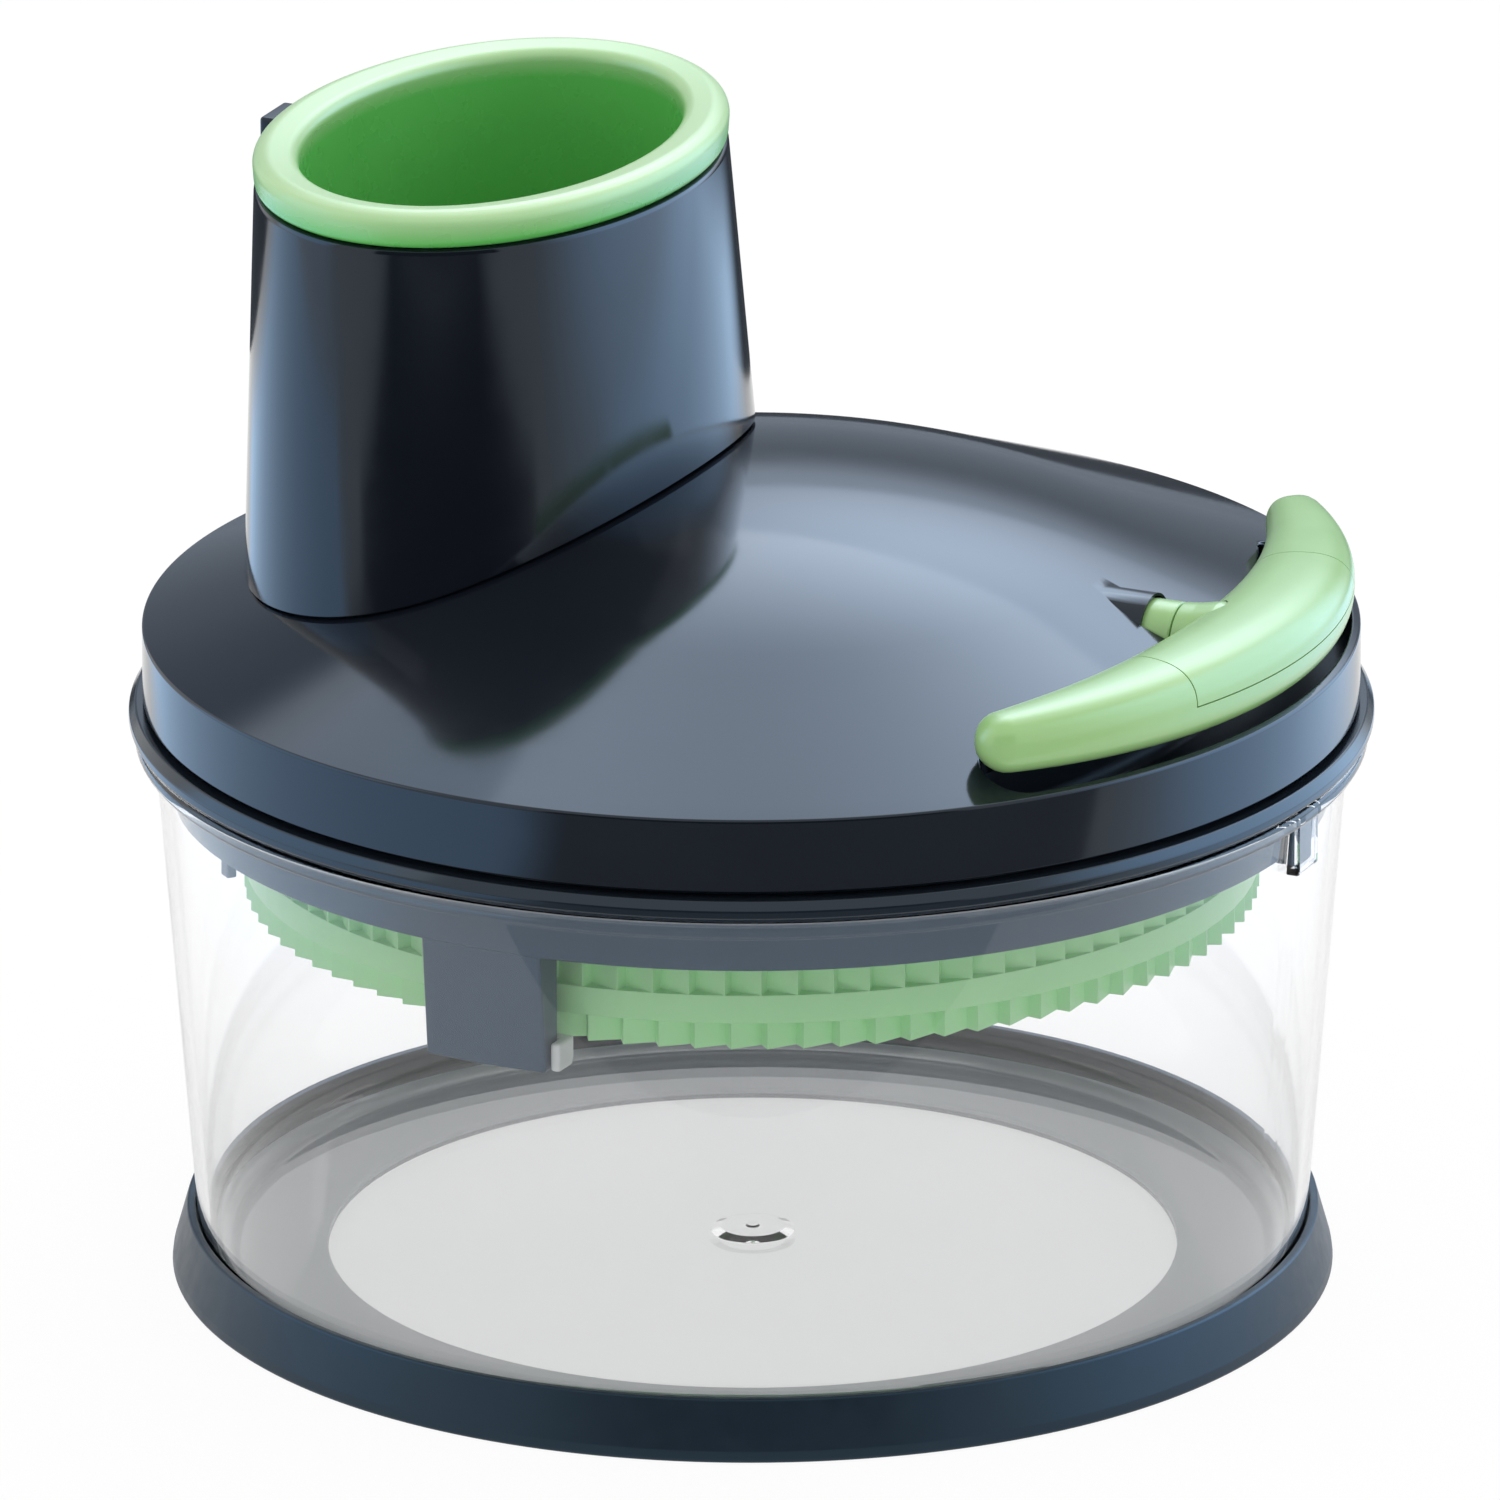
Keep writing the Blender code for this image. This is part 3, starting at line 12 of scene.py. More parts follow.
import bmesh
import bpy
from mathutils import Matrix, Vector


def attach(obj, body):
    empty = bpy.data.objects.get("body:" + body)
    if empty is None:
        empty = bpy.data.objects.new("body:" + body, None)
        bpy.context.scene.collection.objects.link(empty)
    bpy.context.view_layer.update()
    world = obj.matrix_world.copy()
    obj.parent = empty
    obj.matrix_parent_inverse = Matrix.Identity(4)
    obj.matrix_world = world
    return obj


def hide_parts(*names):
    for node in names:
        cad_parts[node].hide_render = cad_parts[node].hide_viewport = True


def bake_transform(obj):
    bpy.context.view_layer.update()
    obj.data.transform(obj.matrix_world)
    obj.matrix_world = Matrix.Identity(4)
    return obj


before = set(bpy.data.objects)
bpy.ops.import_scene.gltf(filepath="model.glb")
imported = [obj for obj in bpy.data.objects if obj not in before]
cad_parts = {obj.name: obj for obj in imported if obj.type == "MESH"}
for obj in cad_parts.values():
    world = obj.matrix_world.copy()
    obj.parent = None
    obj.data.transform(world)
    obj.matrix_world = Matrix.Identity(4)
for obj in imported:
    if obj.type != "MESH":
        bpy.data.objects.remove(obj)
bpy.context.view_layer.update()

LOG = logging.getLogger("processor")
Piece = bpy.types.Object
Socket = bpy.types.NodeSocket
Flat = tuple[float, float]
Triple = tuple[float, float, float]
Ring = list[Triple]

# What several pieces share. Angles are in degrees.
MERGE_DISTANCE = 0.000001
STEM_Z = 0.1283
HANDLE_HALF_ANGLE = 39.6
HANDLE_FULLNESS = 0.9
LEG_ANGLES = (-93.0, 87.0)
PASSAGE_X = -0.0500
PASSAGE_HOLE = (0.0363, 0.0523)
OVAL_STEPS = 128


class Body(Enum):
    """The moving bodies of the model."""

    BOWL = "bowl"
    LID = "lid"
    PUSHER = "pusher"
    ROTOR = "rotor"
    SPOOL = "spool"
    HANDLE = "handle"


class Look(Enum):
    """The finishes: the name of each one's material, and the record's slot that it belongs to."""

    CLEAR = ("clear_bowl", "clear_plastic")
    RUBBER = ("navy_rubber", "navy_rubber")
    NAVY = ("gloss_navy", "gloss_navy_plastic")
    SLATE = ("slate_satin", "slate_plastic")
    GREEN = ("light_green", "light_green_plastic")
    # The cup's copy of the light green is painted light: darker and deeper for the shade inside the pusher, with a
    # pale painted-light rim.
    CUP = ("cup_green_painted_light", "light_green_plastic")
    # The rotor's copy of the light green is paler: painted light for the light it doesn't get inside the bowl.
    PALE = ("pale_green_painted_light", "light_green_plastic")
    NYLON = ("white_nylon", "white_nylon")
    STEEL = ("brushed_steel", "steel")
    BRONZE = ("sintered_bronze", "sintered_bronze")
    CORD = ("braided_cord", "cord")

    def __init__(self, material: str, slot: str) -> None:
        """Keep the material's name and the slot as attributes."""
        self.material = material
        self.slot = slot


# Finishes


@dataclass(frozen=True)
class Patch:
    """Another colour and roughness for the part of a piece between two heights and within a radius: a second finish,
    or painted light or shade.
    """

    colour: Triple
    roughness: float
    low: float = -1.0
    high: float = 1.0
    radius: float = 1.0
    soft: float = 0.0001


class NodeBoard:
    """A material's node tree with its Principled shader, and short calls that add and join nodes."""

    def __init__(self, name: str) -> None:
        """Make the material.

        Args:
            name: The material's name.
        """
        self.material = bpy.data.materials.new(name)
        self.material.use_nodes = True
        self.tree = self.material.node_tree
        self.shader = self.tree.nodes["Principled BSDF"]

    def set(self, **values: object) -> None:
        """Set the shader's own sockets.

        Args:
            values: Socket values by name, with underscores for spaces.
        """
        for name, value in values.items():
            self.shader.inputs[name.replace("_", " ")].default_value = value

    def node(self, kind: str, **values: object) -> bpy.types.Node:
        """Add a node and set its sockets.

        Args:
            kind: The node's type.
            values: Socket values by name, with underscores for spaces.

        Returns:
            The new node.
        """
        node = self.tree.nodes.new(kind)
        for name, value in values.items():
            node.inputs[name.replace("_", " ")].default_value = value
        return node

    def join(self, source: Socket, target: Socket) -> None:
        """Link two sockets."""
        self.tree.links.new(source, target)

    def noise(self, scale: float, detail: float = 3.0, stretch: tuple = (1.0, 1.0, 1.0)) -> Socket:
        """Noise on the piece's own coordinates.

        Args:
            scale: Cells per metre.
            detail: Octaves.
            stretch: Scale of the coordinates along each axis.

        Returns:
            The noise's value socket.
        """
        place = self.node("ShaderNodeTexCoord")
        mapping = self.node("ShaderNodeMapping", Scale=stretch)
        noise = self.node("ShaderNodeTexNoise", Scale=scale, Detail=detail)
        self.join(place.outputs["Object"], mapping.inputs["Vector"])
        self.join(mapping.outputs["Vector"], noise.inputs["Vector"])
        return noise.outputs["Fac"]

    def blend(self, factor: Socket, low: Sequence[float], high: Sequence[float],
              start: float = 0.35, end: float = 0.65) -> Socket:
        """Turn a value into a colour between two tones.

        Args:
            factor: The value.
            low: Colour where the value is at start or below.
            high: Colour where the value is at end or above.
            start: Lower limit of the value.
            end: Upper limit of the value.

        Returns:
            The colour socket.
        """
        ramp = self.tree.nodes.new("ShaderNodeValToRGB")
        for element, position, colour in zip(ramp.color_ramp.elements, (start, end), (low, high)):
            element.position = position
            element.color = (*colour, 1.0)
        self.join(factor, ramp.inputs["Fac"])
        return ramp.outputs["Color"]

    def compute(self, operation: str, *values: object) -> Socket:
        """Add a math node.

        Args:
            operation: The node's operation.
            values: The sockets and numbers that go into it.

        Returns:
            The result's socket.
        """
        node = self.node("ShaderNodeMath")
        node.operation = operation
        for target, value in zip(node.inputs, values):
            if isinstance(value, Socket):
                self.join(value, target)
            else:
                target.default_value = value
        return node.outputs["Value"]

    def remap(self, value: Socket, start: float, end: float, low: float = 0.0, high: float = 1.0,
              kind: str = "LINEAR") -> Socket:
        """Map a value from one range onto another.

        Args:
            value: The value.
            start: The value that becomes low.
            end: The value that becomes high.
            low: Lower result.
            high: Higher result.
            kind: The node's interpolation.

        Returns:
            The result's socket.
        """
        node = self.node("ShaderNodeMapRange", From_Min=start, From_Max=end, To_Min=low, To_Max=high)
        node.interpolation_type = kind
        self.join(value, node.inputs["Value"])
        return node.outputs["Result"]

    def spread(self, factor: Socket, low: float, high: float) -> Socket:
        """Map the middle of a noise onto a range."""
        return self.remap(factor, 0.3, 0.7, low, high)

    def inside(self, patch: Patch) -> Socket:
        """Value that is 1 inside a patch and 0 outside it.

        Args:
            patch: The patch's heights and radius.

        Returns:
            The value socket.
        """
        place = self.node("ShaderNodeTexCoord").outputs["Object"]
        split = self.node("ShaderNodeSeparateXYZ")
        flat = self.node("ShaderNodeVectorMath")
        flat.operation = "MULTIPLY"
        flat.inputs[1].default_value = (1.0, 1.0, 0.0)
        reach = self.node("ShaderNodeVectorMath")
        reach.operation = "LENGTH"
        self.join(place, split.inputs["Vector"])
        self.join(place, flat.inputs[0])
        self.join(flat.outputs["Vector"], reach.inputs[0])
        height = split.outputs["Z"]
        value = self.remap(height, patch.low - patch.soft, patch.low + patch.soft)
        for source, limit in ((height, patch.high), (reach.outputs["Value"], patch.radius)):
            value = self.compute("MULTIPLY", value, self.compute("LESS_THAN", source, limit))
        return value

    def mix(self, factor: Socket, first: Socket, second: object, kind: str) -> Socket:
        """Mix a socket with a constant.

        Args:
            factor: 0 for the socket, 1 for the constant.
            first: The socket.
            second: The constant.
            kind: RGBA or FLOAT.

        Returns:
            The mixed socket.
        """
        node = self.tree.nodes.new("ShaderNodeMix")
        node.data_type = kind
        ends = {"FLOAT": (2, 3, 0), "RGBA": (6, 7, 2)}[kind]
        self.join(factor, node.inputs[0])
        self.join(first, node.inputs[ends[0]])
        node.inputs[ends[1]].default_value = second
        return node.outputs[ends[2]]

    def bump(self, height: Socket, depth: float, strength: float = 1.0) -> None:
        """Raise the surface by a height value.

        Args:
            height: The height, from 0 to 1.
            depth: Height of 1, in metres.
            strength: Share of the effect.
        """
        node = self.node("ShaderNodeBump", Strength=strength, Distance=depth)
        self.join(height, node.inputs["Height"])
        self.join(node.outputs["Normal"], self.shader.inputs["Normal"])

    def coat(self, colour: Socket, roughness: Socket, patch: Optional[Patch] = None) -> None:
        """Give the shader its colour and roughness.

        Args:
            colour: The colour.
            roughness: The roughness.
            patch: Another finish, or painted light or shade, on a part of the piece.
        """
        if patch:
            inside = self.inside(patch)
            colour = self.mix(inside, colour, (*patch.colour, 1.0), "RGBA")
            roughness = self.mix(inside, roughness, patch.roughness, "FLOAT")
        self.join(colour, self.shader.inputs["Base Color"])
        self.join(roughness, self.shader.inputs["Roughness"])

    def surface(self, share: Socket, under: Socket, over: Socket) -> None:
        """Mix two shaders into the material's surface.

        Args:
            share: 0 for the first shader, 1 for the second.
            under: The first shader's socket.
            over: The second shader's socket.
        """
        mix = self.node("ShaderNodeMixShader")
        for source, target in zip((share, under, over), mix.inputs):
            self.join(source, target)
        self.join(mix.outputs["Shader"], self.tree.nodes["Material Output"].inputs["Surface"])


@dataclass(frozen=True)
class MouldedPlastic:
    """Injection-moulded plastic: an even colour with faint flow mottling and, where it is matt, a moulded skin; a
    patch can give part of it another finish, or painted light or shade.
    """

    low: Triple
    high: Triple
    roughness: Flat
    skin_depth: float = 0.0
    ior: float = 1.49
    tint: Triple = (1.0, 1.0, 1.0)
    scatter: float = 0.0
    scatter_radius: Triple = (0.4, 1.0, 0.3)
    scatter_scale: float = 0.002
    patch: Optional[Patch] = None
    noise_scales: Triple = (38.0, 120.0, 900.0)

    def build(self, name: str) -> bpy.types.Material:
        """Make the material.

        Args:
            name: Its name.

        Returns:
            The material.
        """
        board = NodeBoard(name)
        board.set(IOR=self.ior, Specular_Tint=(*self.tint, 1.0), Subsurface_Weight=self.scatter,
                  Subsurface_Radius=self.scatter_radius, Subsurface_Scale=self.scatter_scale)
        mottling, shine, skin = self.noise_scales
        board.coat(board.blend(board.noise(mottling), self.low, self.high),
                   board.spread(board.noise(shine, 4.0), *self.roughness), self.patch)
        if self.skin_depth:
            board.bump(board.noise(skin, 2.0), self.skin_depth)
        return board.material


@dataclass(frozen=True)
class ClearPlastic:
    """Clear moulded plastic with a faint tint and flow ripples."""

    tint: Triple = (0.996, 0.996, 1.0)
    dimming: float = 0.993
    roughness: Flat = (0.0, 0.004)
    ior: float = 1.45
    ripple_depth: float = 0.00001
    noise_scales: Triple = (25.0, 60.0, 45.0)

    def build(self, name: str) -> bpy.types.Material:
        """Make the material.

        Args:
            name: Its name.

        Returns:
            The material.
        """
        board = NodeBoard(name)
        board.set(IOR=self.ior, Transmission_Weight=1.0)
        mottling, shine, ripples = self.noise_scales
        faint = tuple(value * self.dimming for value in self.tint)
        board.coat(board.blend(board.noise(mottling), faint, self.tint),
                   board.spread(board.noise(shine), *self.roughness))
        board.bump(board.noise(ripples, 1.0), self.ripple_depth)
        return board.material


@dataclass(frozen=True)
class Rubber:
    """Matt moulded rubber with a fine grain, and a paler sole: painted light that lightens the sole and the seat's
    inner wall where they show through the clear floor.
    """

    low: Triple = (0.0060, 0.0115, 0.0200)
    high: Triple = (0.0075, 0.0135, 0.0230)
    roughness: Flat = (0.36, 0.42)
    tint: Triple = (0.50, 0.78, 1.0)
    # Painted light: the sole patch is pale grey on dark rubber, standing in for the light and reflections seen through
    # the bowl's floor.
    sole: Patch = Patch((0.58, 0.62, 0.68), 0.60, 0.0010, 0.0100, 0.0985)
    grain_depth: float = 0.000006
    noise_scales: Triple = (90.0, 300.0, 2200.0)

    def build(self, name: str) -> bpy.types.Material:
        """Make the material.

        Args:
            name: Its name.

        Returns:
            The material.
        """
        board = NodeBoard(name)
        board.set(IOR=1.5, Specular_Tint=(*self.tint, 1.0))
        dust, shine, grain = self.noise_scales
        board.coat(board.blend(board.noise(dust, 5.0), self.low, self.high),
                   board.spread(board.noise(shine), *self.roughness), self.sole)
        board.bump(board.noise(grain), self.grain_depth, 0.5)
        return board.material


@dataclass(frozen=True)
class BrushedMetal:
    """Rolled or turned metal with fine lines."""

    low: Triple
    high: Triple
    roughness: Flat
    lines: Triple = (60.0, 1.0, 60.0)
    line_depth: float = 0.00001
    line_scale: float = 30.0

    def build(self, name: str) -> bpy.types.Material:
        """Make the material.

        Args:
            name: Its name.

        Returns:
            The material.
        """
        board = NodeBoard(name)
        board.set(Metallic=1.0)
        grain = board.noise(self.line_scale, 4.0, self.lines)
        board.coat(board.blend(grain, self.low, self.high, 0.2, 0.8), board.spread(grain, *self.roughness))
        board.bump(grain, self.line_depth, 0.6)
        return board.material


@dataclass(frozen=True)
class BraidedCord:
    """White braid: two crossed sets of strands that run round the cord, with painted shade that darkens the grooves
    between the strands.
    """

    # low is the painted shade in the grooves, and high the strands' white.
    low: Triple = (0.42, 0.44, 0.43)
    high: Triple = (0.80, 0.81, 0.79)
    pitch: float = 0.0016
    lean: float = 0.75
    strand_height: float = 0.0002

    def build(self, name: str) -> bpy.types.Material:
        """Make the material.

        Args:
            name: Its name.

        Returns:
            The material.
        """
        board = NodeBoard(name)
        board.set(Roughness=0.75, Sheen_Weight=0.3)
        place = board.node("ShaderNodeTexCoord")
        waves = []
        for lean in (-self.lean, self.lean):
            mapping = board.node("ShaderNodeMapping", Rotation=(0.0, lean, lean))
            wave = board.node("ShaderNodeTexWave", Scale=0.5 / self.pitch, Distortion=0.2)
            board.join(place.outputs["Object"], mapping.inputs["Vector"])
            board.join(mapping.outputs["Vector"], wave.inputs["Vector"])
            waves.append(wave.outputs["Fac"])
        strands = board.compute("MAXIMUM", *waves)
        # The grooves between strands take the low colour: painted shade.
        board.join(board.blend(strands, self.low, self.high, 0.3, 0.9), board.shader.inputs["Base Color"])
        board.bump(strands, self.strand_height)
        return board.material


class Finishes:
    """Every finish of the model, made once and looked up by its Look."""

    def __init__(self) -> None:
        """Make the materials."""
        recipes = {
            Look.CLEAR: ClearPlastic(),
            Look.RUBBER: Rubber(),
            # Painted shade: the navy patch turns every navy surface below the dome's face and within its edge near
            # black and matt. That covers the handle's recess, the shell under it and the chute's passage below the
            # lid.
            Look.NAVY: MouldedPlastic((0.0050, 0.0068, 0.0110), (0.0058, 0.0078, 0.0124), (0.08, 0.11),
                                      tint=(0.72, 0.86, 1.0),
                                      patch=Patch((0.0030, 0.0038, 0.0060), 0.50, 0.1085, 0.1203, 0.1063)),
            Look.SLATE: MouldedPlastic((0.033, 0.072, 0.122), (0.036, 0.077, 0.130), (0.30, 0.36),
                                       tint=(0.70, 0.86, 1.0),
                                       patch=Patch((0.0085, 0.0125, 0.0185), 0.14, low=0.1017)),
            Look.GREEN: MouldedPlastic((0.288, 0.500, 0.196), (0.300, 0.515, 0.208), (0.22, 0.27), ior=1.60,
                                       scatter=0.10),
            # Painted shade and light: a darker, deeper copy of the light green for the shade inside the cup, with a
            # pale patch for the lit rim on top.
            Look.CUP: MouldedPlastic((0.100, 0.450, 0.090), (0.108, 0.465, 0.098), (0.24, 0.29), ior=1.55,
                                     scatter=0.10, patch=Patch((0.425, 0.620, 0.335), 0.30, low=0.2022, soft=0.0026)),
            # Painted light: a paler copy of the light green, which brightens the rotor inside the bowl.
            Look.PALE: MouldedPlastic((0.440, 0.860, 0.430), (0.460, 0.880, 0.450), (0.30, 0.36), scatter=0.15),
            Look.NYLON: MouldedPlastic((0.74, 0.78, 0.78), (0.82, 0.85, 0.84), (0.30, 0.40), 0.00001, scatter=0.2,
                                       scatter_radius=(1.0, 1.0, 1.0)),
            Look.STEEL: BrushedMetal((0.52, 0.52, 0.53), (0.66, 0.66, 0.67), (0.20, 0.34)),
            Look.BRONZE: BrushedMetal((0.36, 0.23, 0.11), (0.48, 0.32, 0.16), (0.42, 0.58), (1.0, 1.0, 1.0)),
            Look.CORD: BraidedCord(),
        }
        self.materials = {look: recipe.build(look.material) for look, recipe in recipes.items()}

    def dress(self, piece: Piece, look: Look, body: Body, *nodes: str) -> None:
        """Give a finished piece its material and body, and let it stand for the frame's nodes.

        Args:
            piece: The new piece, in place.
            look: Its finish.
            body: The body it rides on.
            nodes: The frame's nodes it replaces.
        """
        piece.data.materials.clear()
        piece.data.materials.append(self.materials[look])
        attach(piece, body.value)
        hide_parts(*nodes)

    def dress_node(self, name: str, look: Look) -> None:
        """Give a node of the frame that stays in view its material.

        Args:
            name: The node's name.
            look: Its finish.
        """
        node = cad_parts[name]
        node.data.materials.clear()
        node.data.materials.append(self.materials[look])


# Modelling


def between(start: float, end: float, share: float) -> float:
    """Value at a share of the way from start to end."""
    return start + (end - start) * share


def handle_bulk(share: float) -> float:
    """How full the pull handle is, from 1 in its middle to 0 at its tips, at a share of its half angle."""
    return max(0.0, math.cos(min(1.0, abs(share)) * math.pi / 2)) ** HANDLE_FULLNESS


def deselect() -> None:
    """Leave edit mode and select nothing."""
    if bpy.context.object and bpy.context.object.mode != "OBJECT":
        bpy.ops.object.mode_set(mode="OBJECT")
    bpy.ops.object.select_all(action="DESELECT")


def take(piece: Piece) -> None:
    """Make a piece the one that operators act on.

    Args:
        piece: The piece.
    """
    deselect()
    piece.select_set(True)
    bpy.context.view_layer.objects.active = piece


def rounded(corners: Sequence[Triple], closed: bool = False, steps: int = 4) -> list[Flat]:
    """Draw an outline through corners, with an arc of its own radius in each that takes under half of each side.

    Args:
        corners: (across, up, radius) of each corner.
        closed: Whether the last corner leads back to the first.
        steps: Segments in each arc.

    Returns:
        The outline's points.
    """
    points: list[Flat] = []
    count = len(corners)
    for i, (across, up, radius) in enumerate(corners):
        at_end = not closed and i in (0, count - 1)
        if at_end or radius <= 0:
            points.append((across, up))
            continue
        corner = Vector((across, up))
        before = Vector(corners[i - 1][:2]) - corner
        after = Vector(corners[(i + 1) % count][:2]) - corner
        reach = 0.49 * min(before.length, after.length)
        before.normalize()
        after.normalize()
        half = before.angle(after) / 2
        back = min(reach, radius / math.tan(half))
        radius = back * math.tan(half)
        centre = corner + (before + after).normalized() * (radius / math.sin(half))
        start = corner + before * back - centre
        end = corner + after * back - centre
        turn = start.angle_signed(end)
        for step in range(steps + 1):
            spoke = start.copy()
            spoke.rotate(Matrix.Rotation(-turn * step / steps, 2))
            points.append((centre.x + spoke.x, centre.y + spoke.y))
    return points


def named(name: str) -> Piece:
    """Name the object that an operator has just added."""
    bpy.context.object.name = bpy.context.object.data.name = name
    return bpy.context.object


def edit_all() -> None:
    """Go into edit mode with everything selected."""
    bpy.ops.object.mode_set(mode="EDIT")
    bpy.ops.mesh.select_all(action="SELECT")


def close_mesh() -> None:
    """Merge the points that coincide, turn the faces outward and leave edit mode."""
    bpy.ops.mesh.select_all(action="SELECT")
    bpy.ops.mesh.remove_doubles(threshold=MERGE_DISTANCE)
    bpy.ops.mesh.normals_make_consistent(inside=False)
    bpy.ops.object.mode_set(mode="OBJECT")


def lathe(name: str, outline: Sequence[Flat], steps: int = 160, axis_z: Optional[float] = None) -> Piece:
    """Extrude one vertex, a small plane merged to its middle, along an outline, then spin it.

    Args:
        name: The piece's name.
        outline: (radius, height) points, or (radius, distance) along X.
        steps: Segments round the axis.
        axis_z: Height of an axis along X, or None for the upright axis.

    Returns:
        The spun piece.
    """
    upright = axis_z is None
    centre = (0.0, 0.0, 0.0 if upright else axis_z)
    axis = (0.0, 0.0, 1.0) if upright else (1.0, 0.0, 0.0)
    spots = [Vector((a, 0.0, b) if upright else (b, 0.0, axis_z + a)) for a, b in outline]
    deselect()
    bpy.ops.mesh.primitive_plane_add(size=0.001, location=(0.0, 0.0, 0.0))
    piece = named(name)
    edit_all()
    bpy.ops.mesh.merge(type="CENTER")
    bpy.ops.transform.translate(value=spots[0])
    for here, there in zip(spots, spots[1:]):
        bpy.ops.mesh.extrude_region_move(TRANSFORM_OT_translate={"value": there - here})
    bpy.ops.mesh.select_all(action="SELECT")
    bpy.ops.mesh.spin(steps=steps, angle=2 * math.pi, center=centre, axis=axis)
    close_mesh()
    return piece


def rod(name: str, radius: float, start: float, end: float, steps: int, axis_z: Optional[float] = None) -> Piece:
    """Solid cylinder.

    Args:
        name: The piece's name.
        radius: Its radius.
        start: Where it starts along its axis.
        end: Where it ends.
        steps: Segments round the axis.
        axis_z: Height of an axis along X, or None for the upright axis.

    Returns:
        The cylinder.
    """
    return lathe(name, [(0.0, start), (radius, start), (radius, end), (0.0, end)], steps, axis_z)


def loft(name: str, rings: Sequence[Ring], tube: bool = False) -> Piece:
    """Draw the first ring as a circle, then extrude it once for each further ring and settle it there.

    Args:
        name: The piece's name.
        rings: Rings of points, all of one length.
        tube: Whether the last ring joins the first, in place of flat ends.

    Returns:
        The lofted piece.
    """
    deselect()
    bpy.ops.mesh.primitive_circle_add(vertices=len(rings[0]), radius=0.01, location=(0.0, 0.0, 0.0))
    piece = named(name)
    for vertex, point in zip(piece.data.vertices, rings[0]):
        vertex.co = point
    edit_all()
    bpy.ops.mesh.select_mode(type="VERT")
    if not tube:
        bpy.ops.mesh.edge_face_add()
    path = [*rings, rings[0]] if tube else rings
    for before, after in zip(path, path[1:]):
        bpy.ops.mesh.extrude_region_move(TRANSFORM_OT_translate={"value": (0.0, 0.0, 0.0)})
        settle(piece, before, after)
    close_mesh()
    return piece


def settle(piece: Piece, before: Ring, after: Ring) -> None:
    """Move the selected ring of vertices from one ring of points to the next.

    Args:
        piece: The piece, in edit mode, with the ring selected.
        before: Where the ring's points are.
        after: Where they go.
    """
    mesh = bmesh.from_edit_mesh(piece.data)
    target = {tuple(round(value, 6) for value in old): new for old, new in zip(before, after)}
    for vertex in mesh.verts:
        if vertex.select:
            key = tuple(round(value, 6) for value in vertex.co)
            vertex.co = target.get(key) or target[min(target, key=lambda k: math.dist(k, key))]
    bmesh.update_edit_mesh(piece.data)


def oval(x_half: float, y_half: float, z: float, centre_x: float, count: int = 96) -> Ring:
    """Ring of an upright ellipse.

    Args:
        x_half: Half its size along X.
        y_half: Half its size along Y.
        z: Its height.
        centre_x: Its centre along X.
        count: Points in the ring.

    Returns:
        The ring's points.
    """
    turns = [2 * math.pi * i / count for i in range(count)]
    return [(centre_x + x_half * math.cos(t), y_half * math.sin(t), z) for t in turns]


def passage_hole(name: str, low: float, high: float) -> Piece:
    """Solid of the opening under the chute, between two heights."""
    return loft(name, [oval(*PASSAGE_HOLE, z, PASSAGE_X) for z in (low, high)])


def block(name: str, low: Triple, high: Triple, bevel: float = 0.0, turn: float = 0.0) -> Piece:
    """Add a cube at its size and place, bevel its edges and turn it about the bowl's axis.

    Args:
        name: The piece's name.
        low: Lowest corner.
        high: Highest corner.
        bevel: Radius of its edges.
        turn: Turn about the axis, in degrees.

    Returns:
        The block, with its place in its mesh.
    """
    deselect()
    middle = [(a + b) / 2 for a, b in zip(low, high)]
    size = [b - a for a, b in zip(low, high)]
    bpy.ops.mesh.primitive_cube_add(size=1.0, location=middle, scale=size)
    piece = named(name)
    bpy.ops.object.transform_apply(location=True, rotation=True, scale=True)
    if bevel:
        edit_all()
        bpy.ops.mesh.bevel(offset=bevel, segments=3, profile=0.5, affect="EDGES")
        bpy.ops.object.mode_set(mode="OBJECT")
    piece.data.transform(turned(turn))
    return piece


def turned(degrees: float) -> Matrix:
    """Turn about the bowl's axis."""
    return Matrix.Rotation(math.radians(degrees), 4, "Z")


def apply_modifier(piece: Piece, kind: str, **settings: object) -> None:
    """Add a modifier, set it and apply it.

    Args:
        piece: The piece.
        kind: The modifier's type.
        settings: The modifier's settings by name.
    """
    take(piece)
    modifier = piece.modifiers.new(kind.lower(), kind)
    for name, value in settings.items():
        setattr(modifier, name, value)
    bpy.ops.object.modifier_apply(modifier=modifier.name)


def combine(piece: Piece, tool: Piece, operation: str = "DIFFERENCE") -> None:
    """Join, cut or keep the overlap with a tool, and throw the tool away.

    Args:
        piece: The piece that is changed.
        tool: The other solid.
        operation: UNION, DIFFERENCE or INTERSECT.
    """
    apply_modifier(piece, "BOOLEAN", object=tool, operation=operation, solver="EXACT")
    bpy.data.objects.remove(tool)
    take(piece)
    edit_all()
    bpy.ops.mesh.fill_holes(sides=3)
    bpy.ops.object.mode_set(mode="OBJECT")


def smooth(piece: Piece, degrees: float = 35.0) -> Piece:
    """Shade a piece smooth, with flat faces kept flat.

    Args:
        piece: The piece.
        degrees: Edges sharper than this stay sharp.

    Returns:
        The same piece.
    """
    take(piece)
    bpy.ops.object.shade_smooth_by_angle(angle=math.radians(degrees))
    apply_modifier(piece, "WEIGHTED_NORMAL", keep_sharp=True, mode="FACE_AREA_WITH_ANGLE")
    deselect()
    return piece


# Pieces


@dataclass
class SubAssembly:
    """A sub-assembly that is built and dressed by its build method."""

    finishes: Finishes


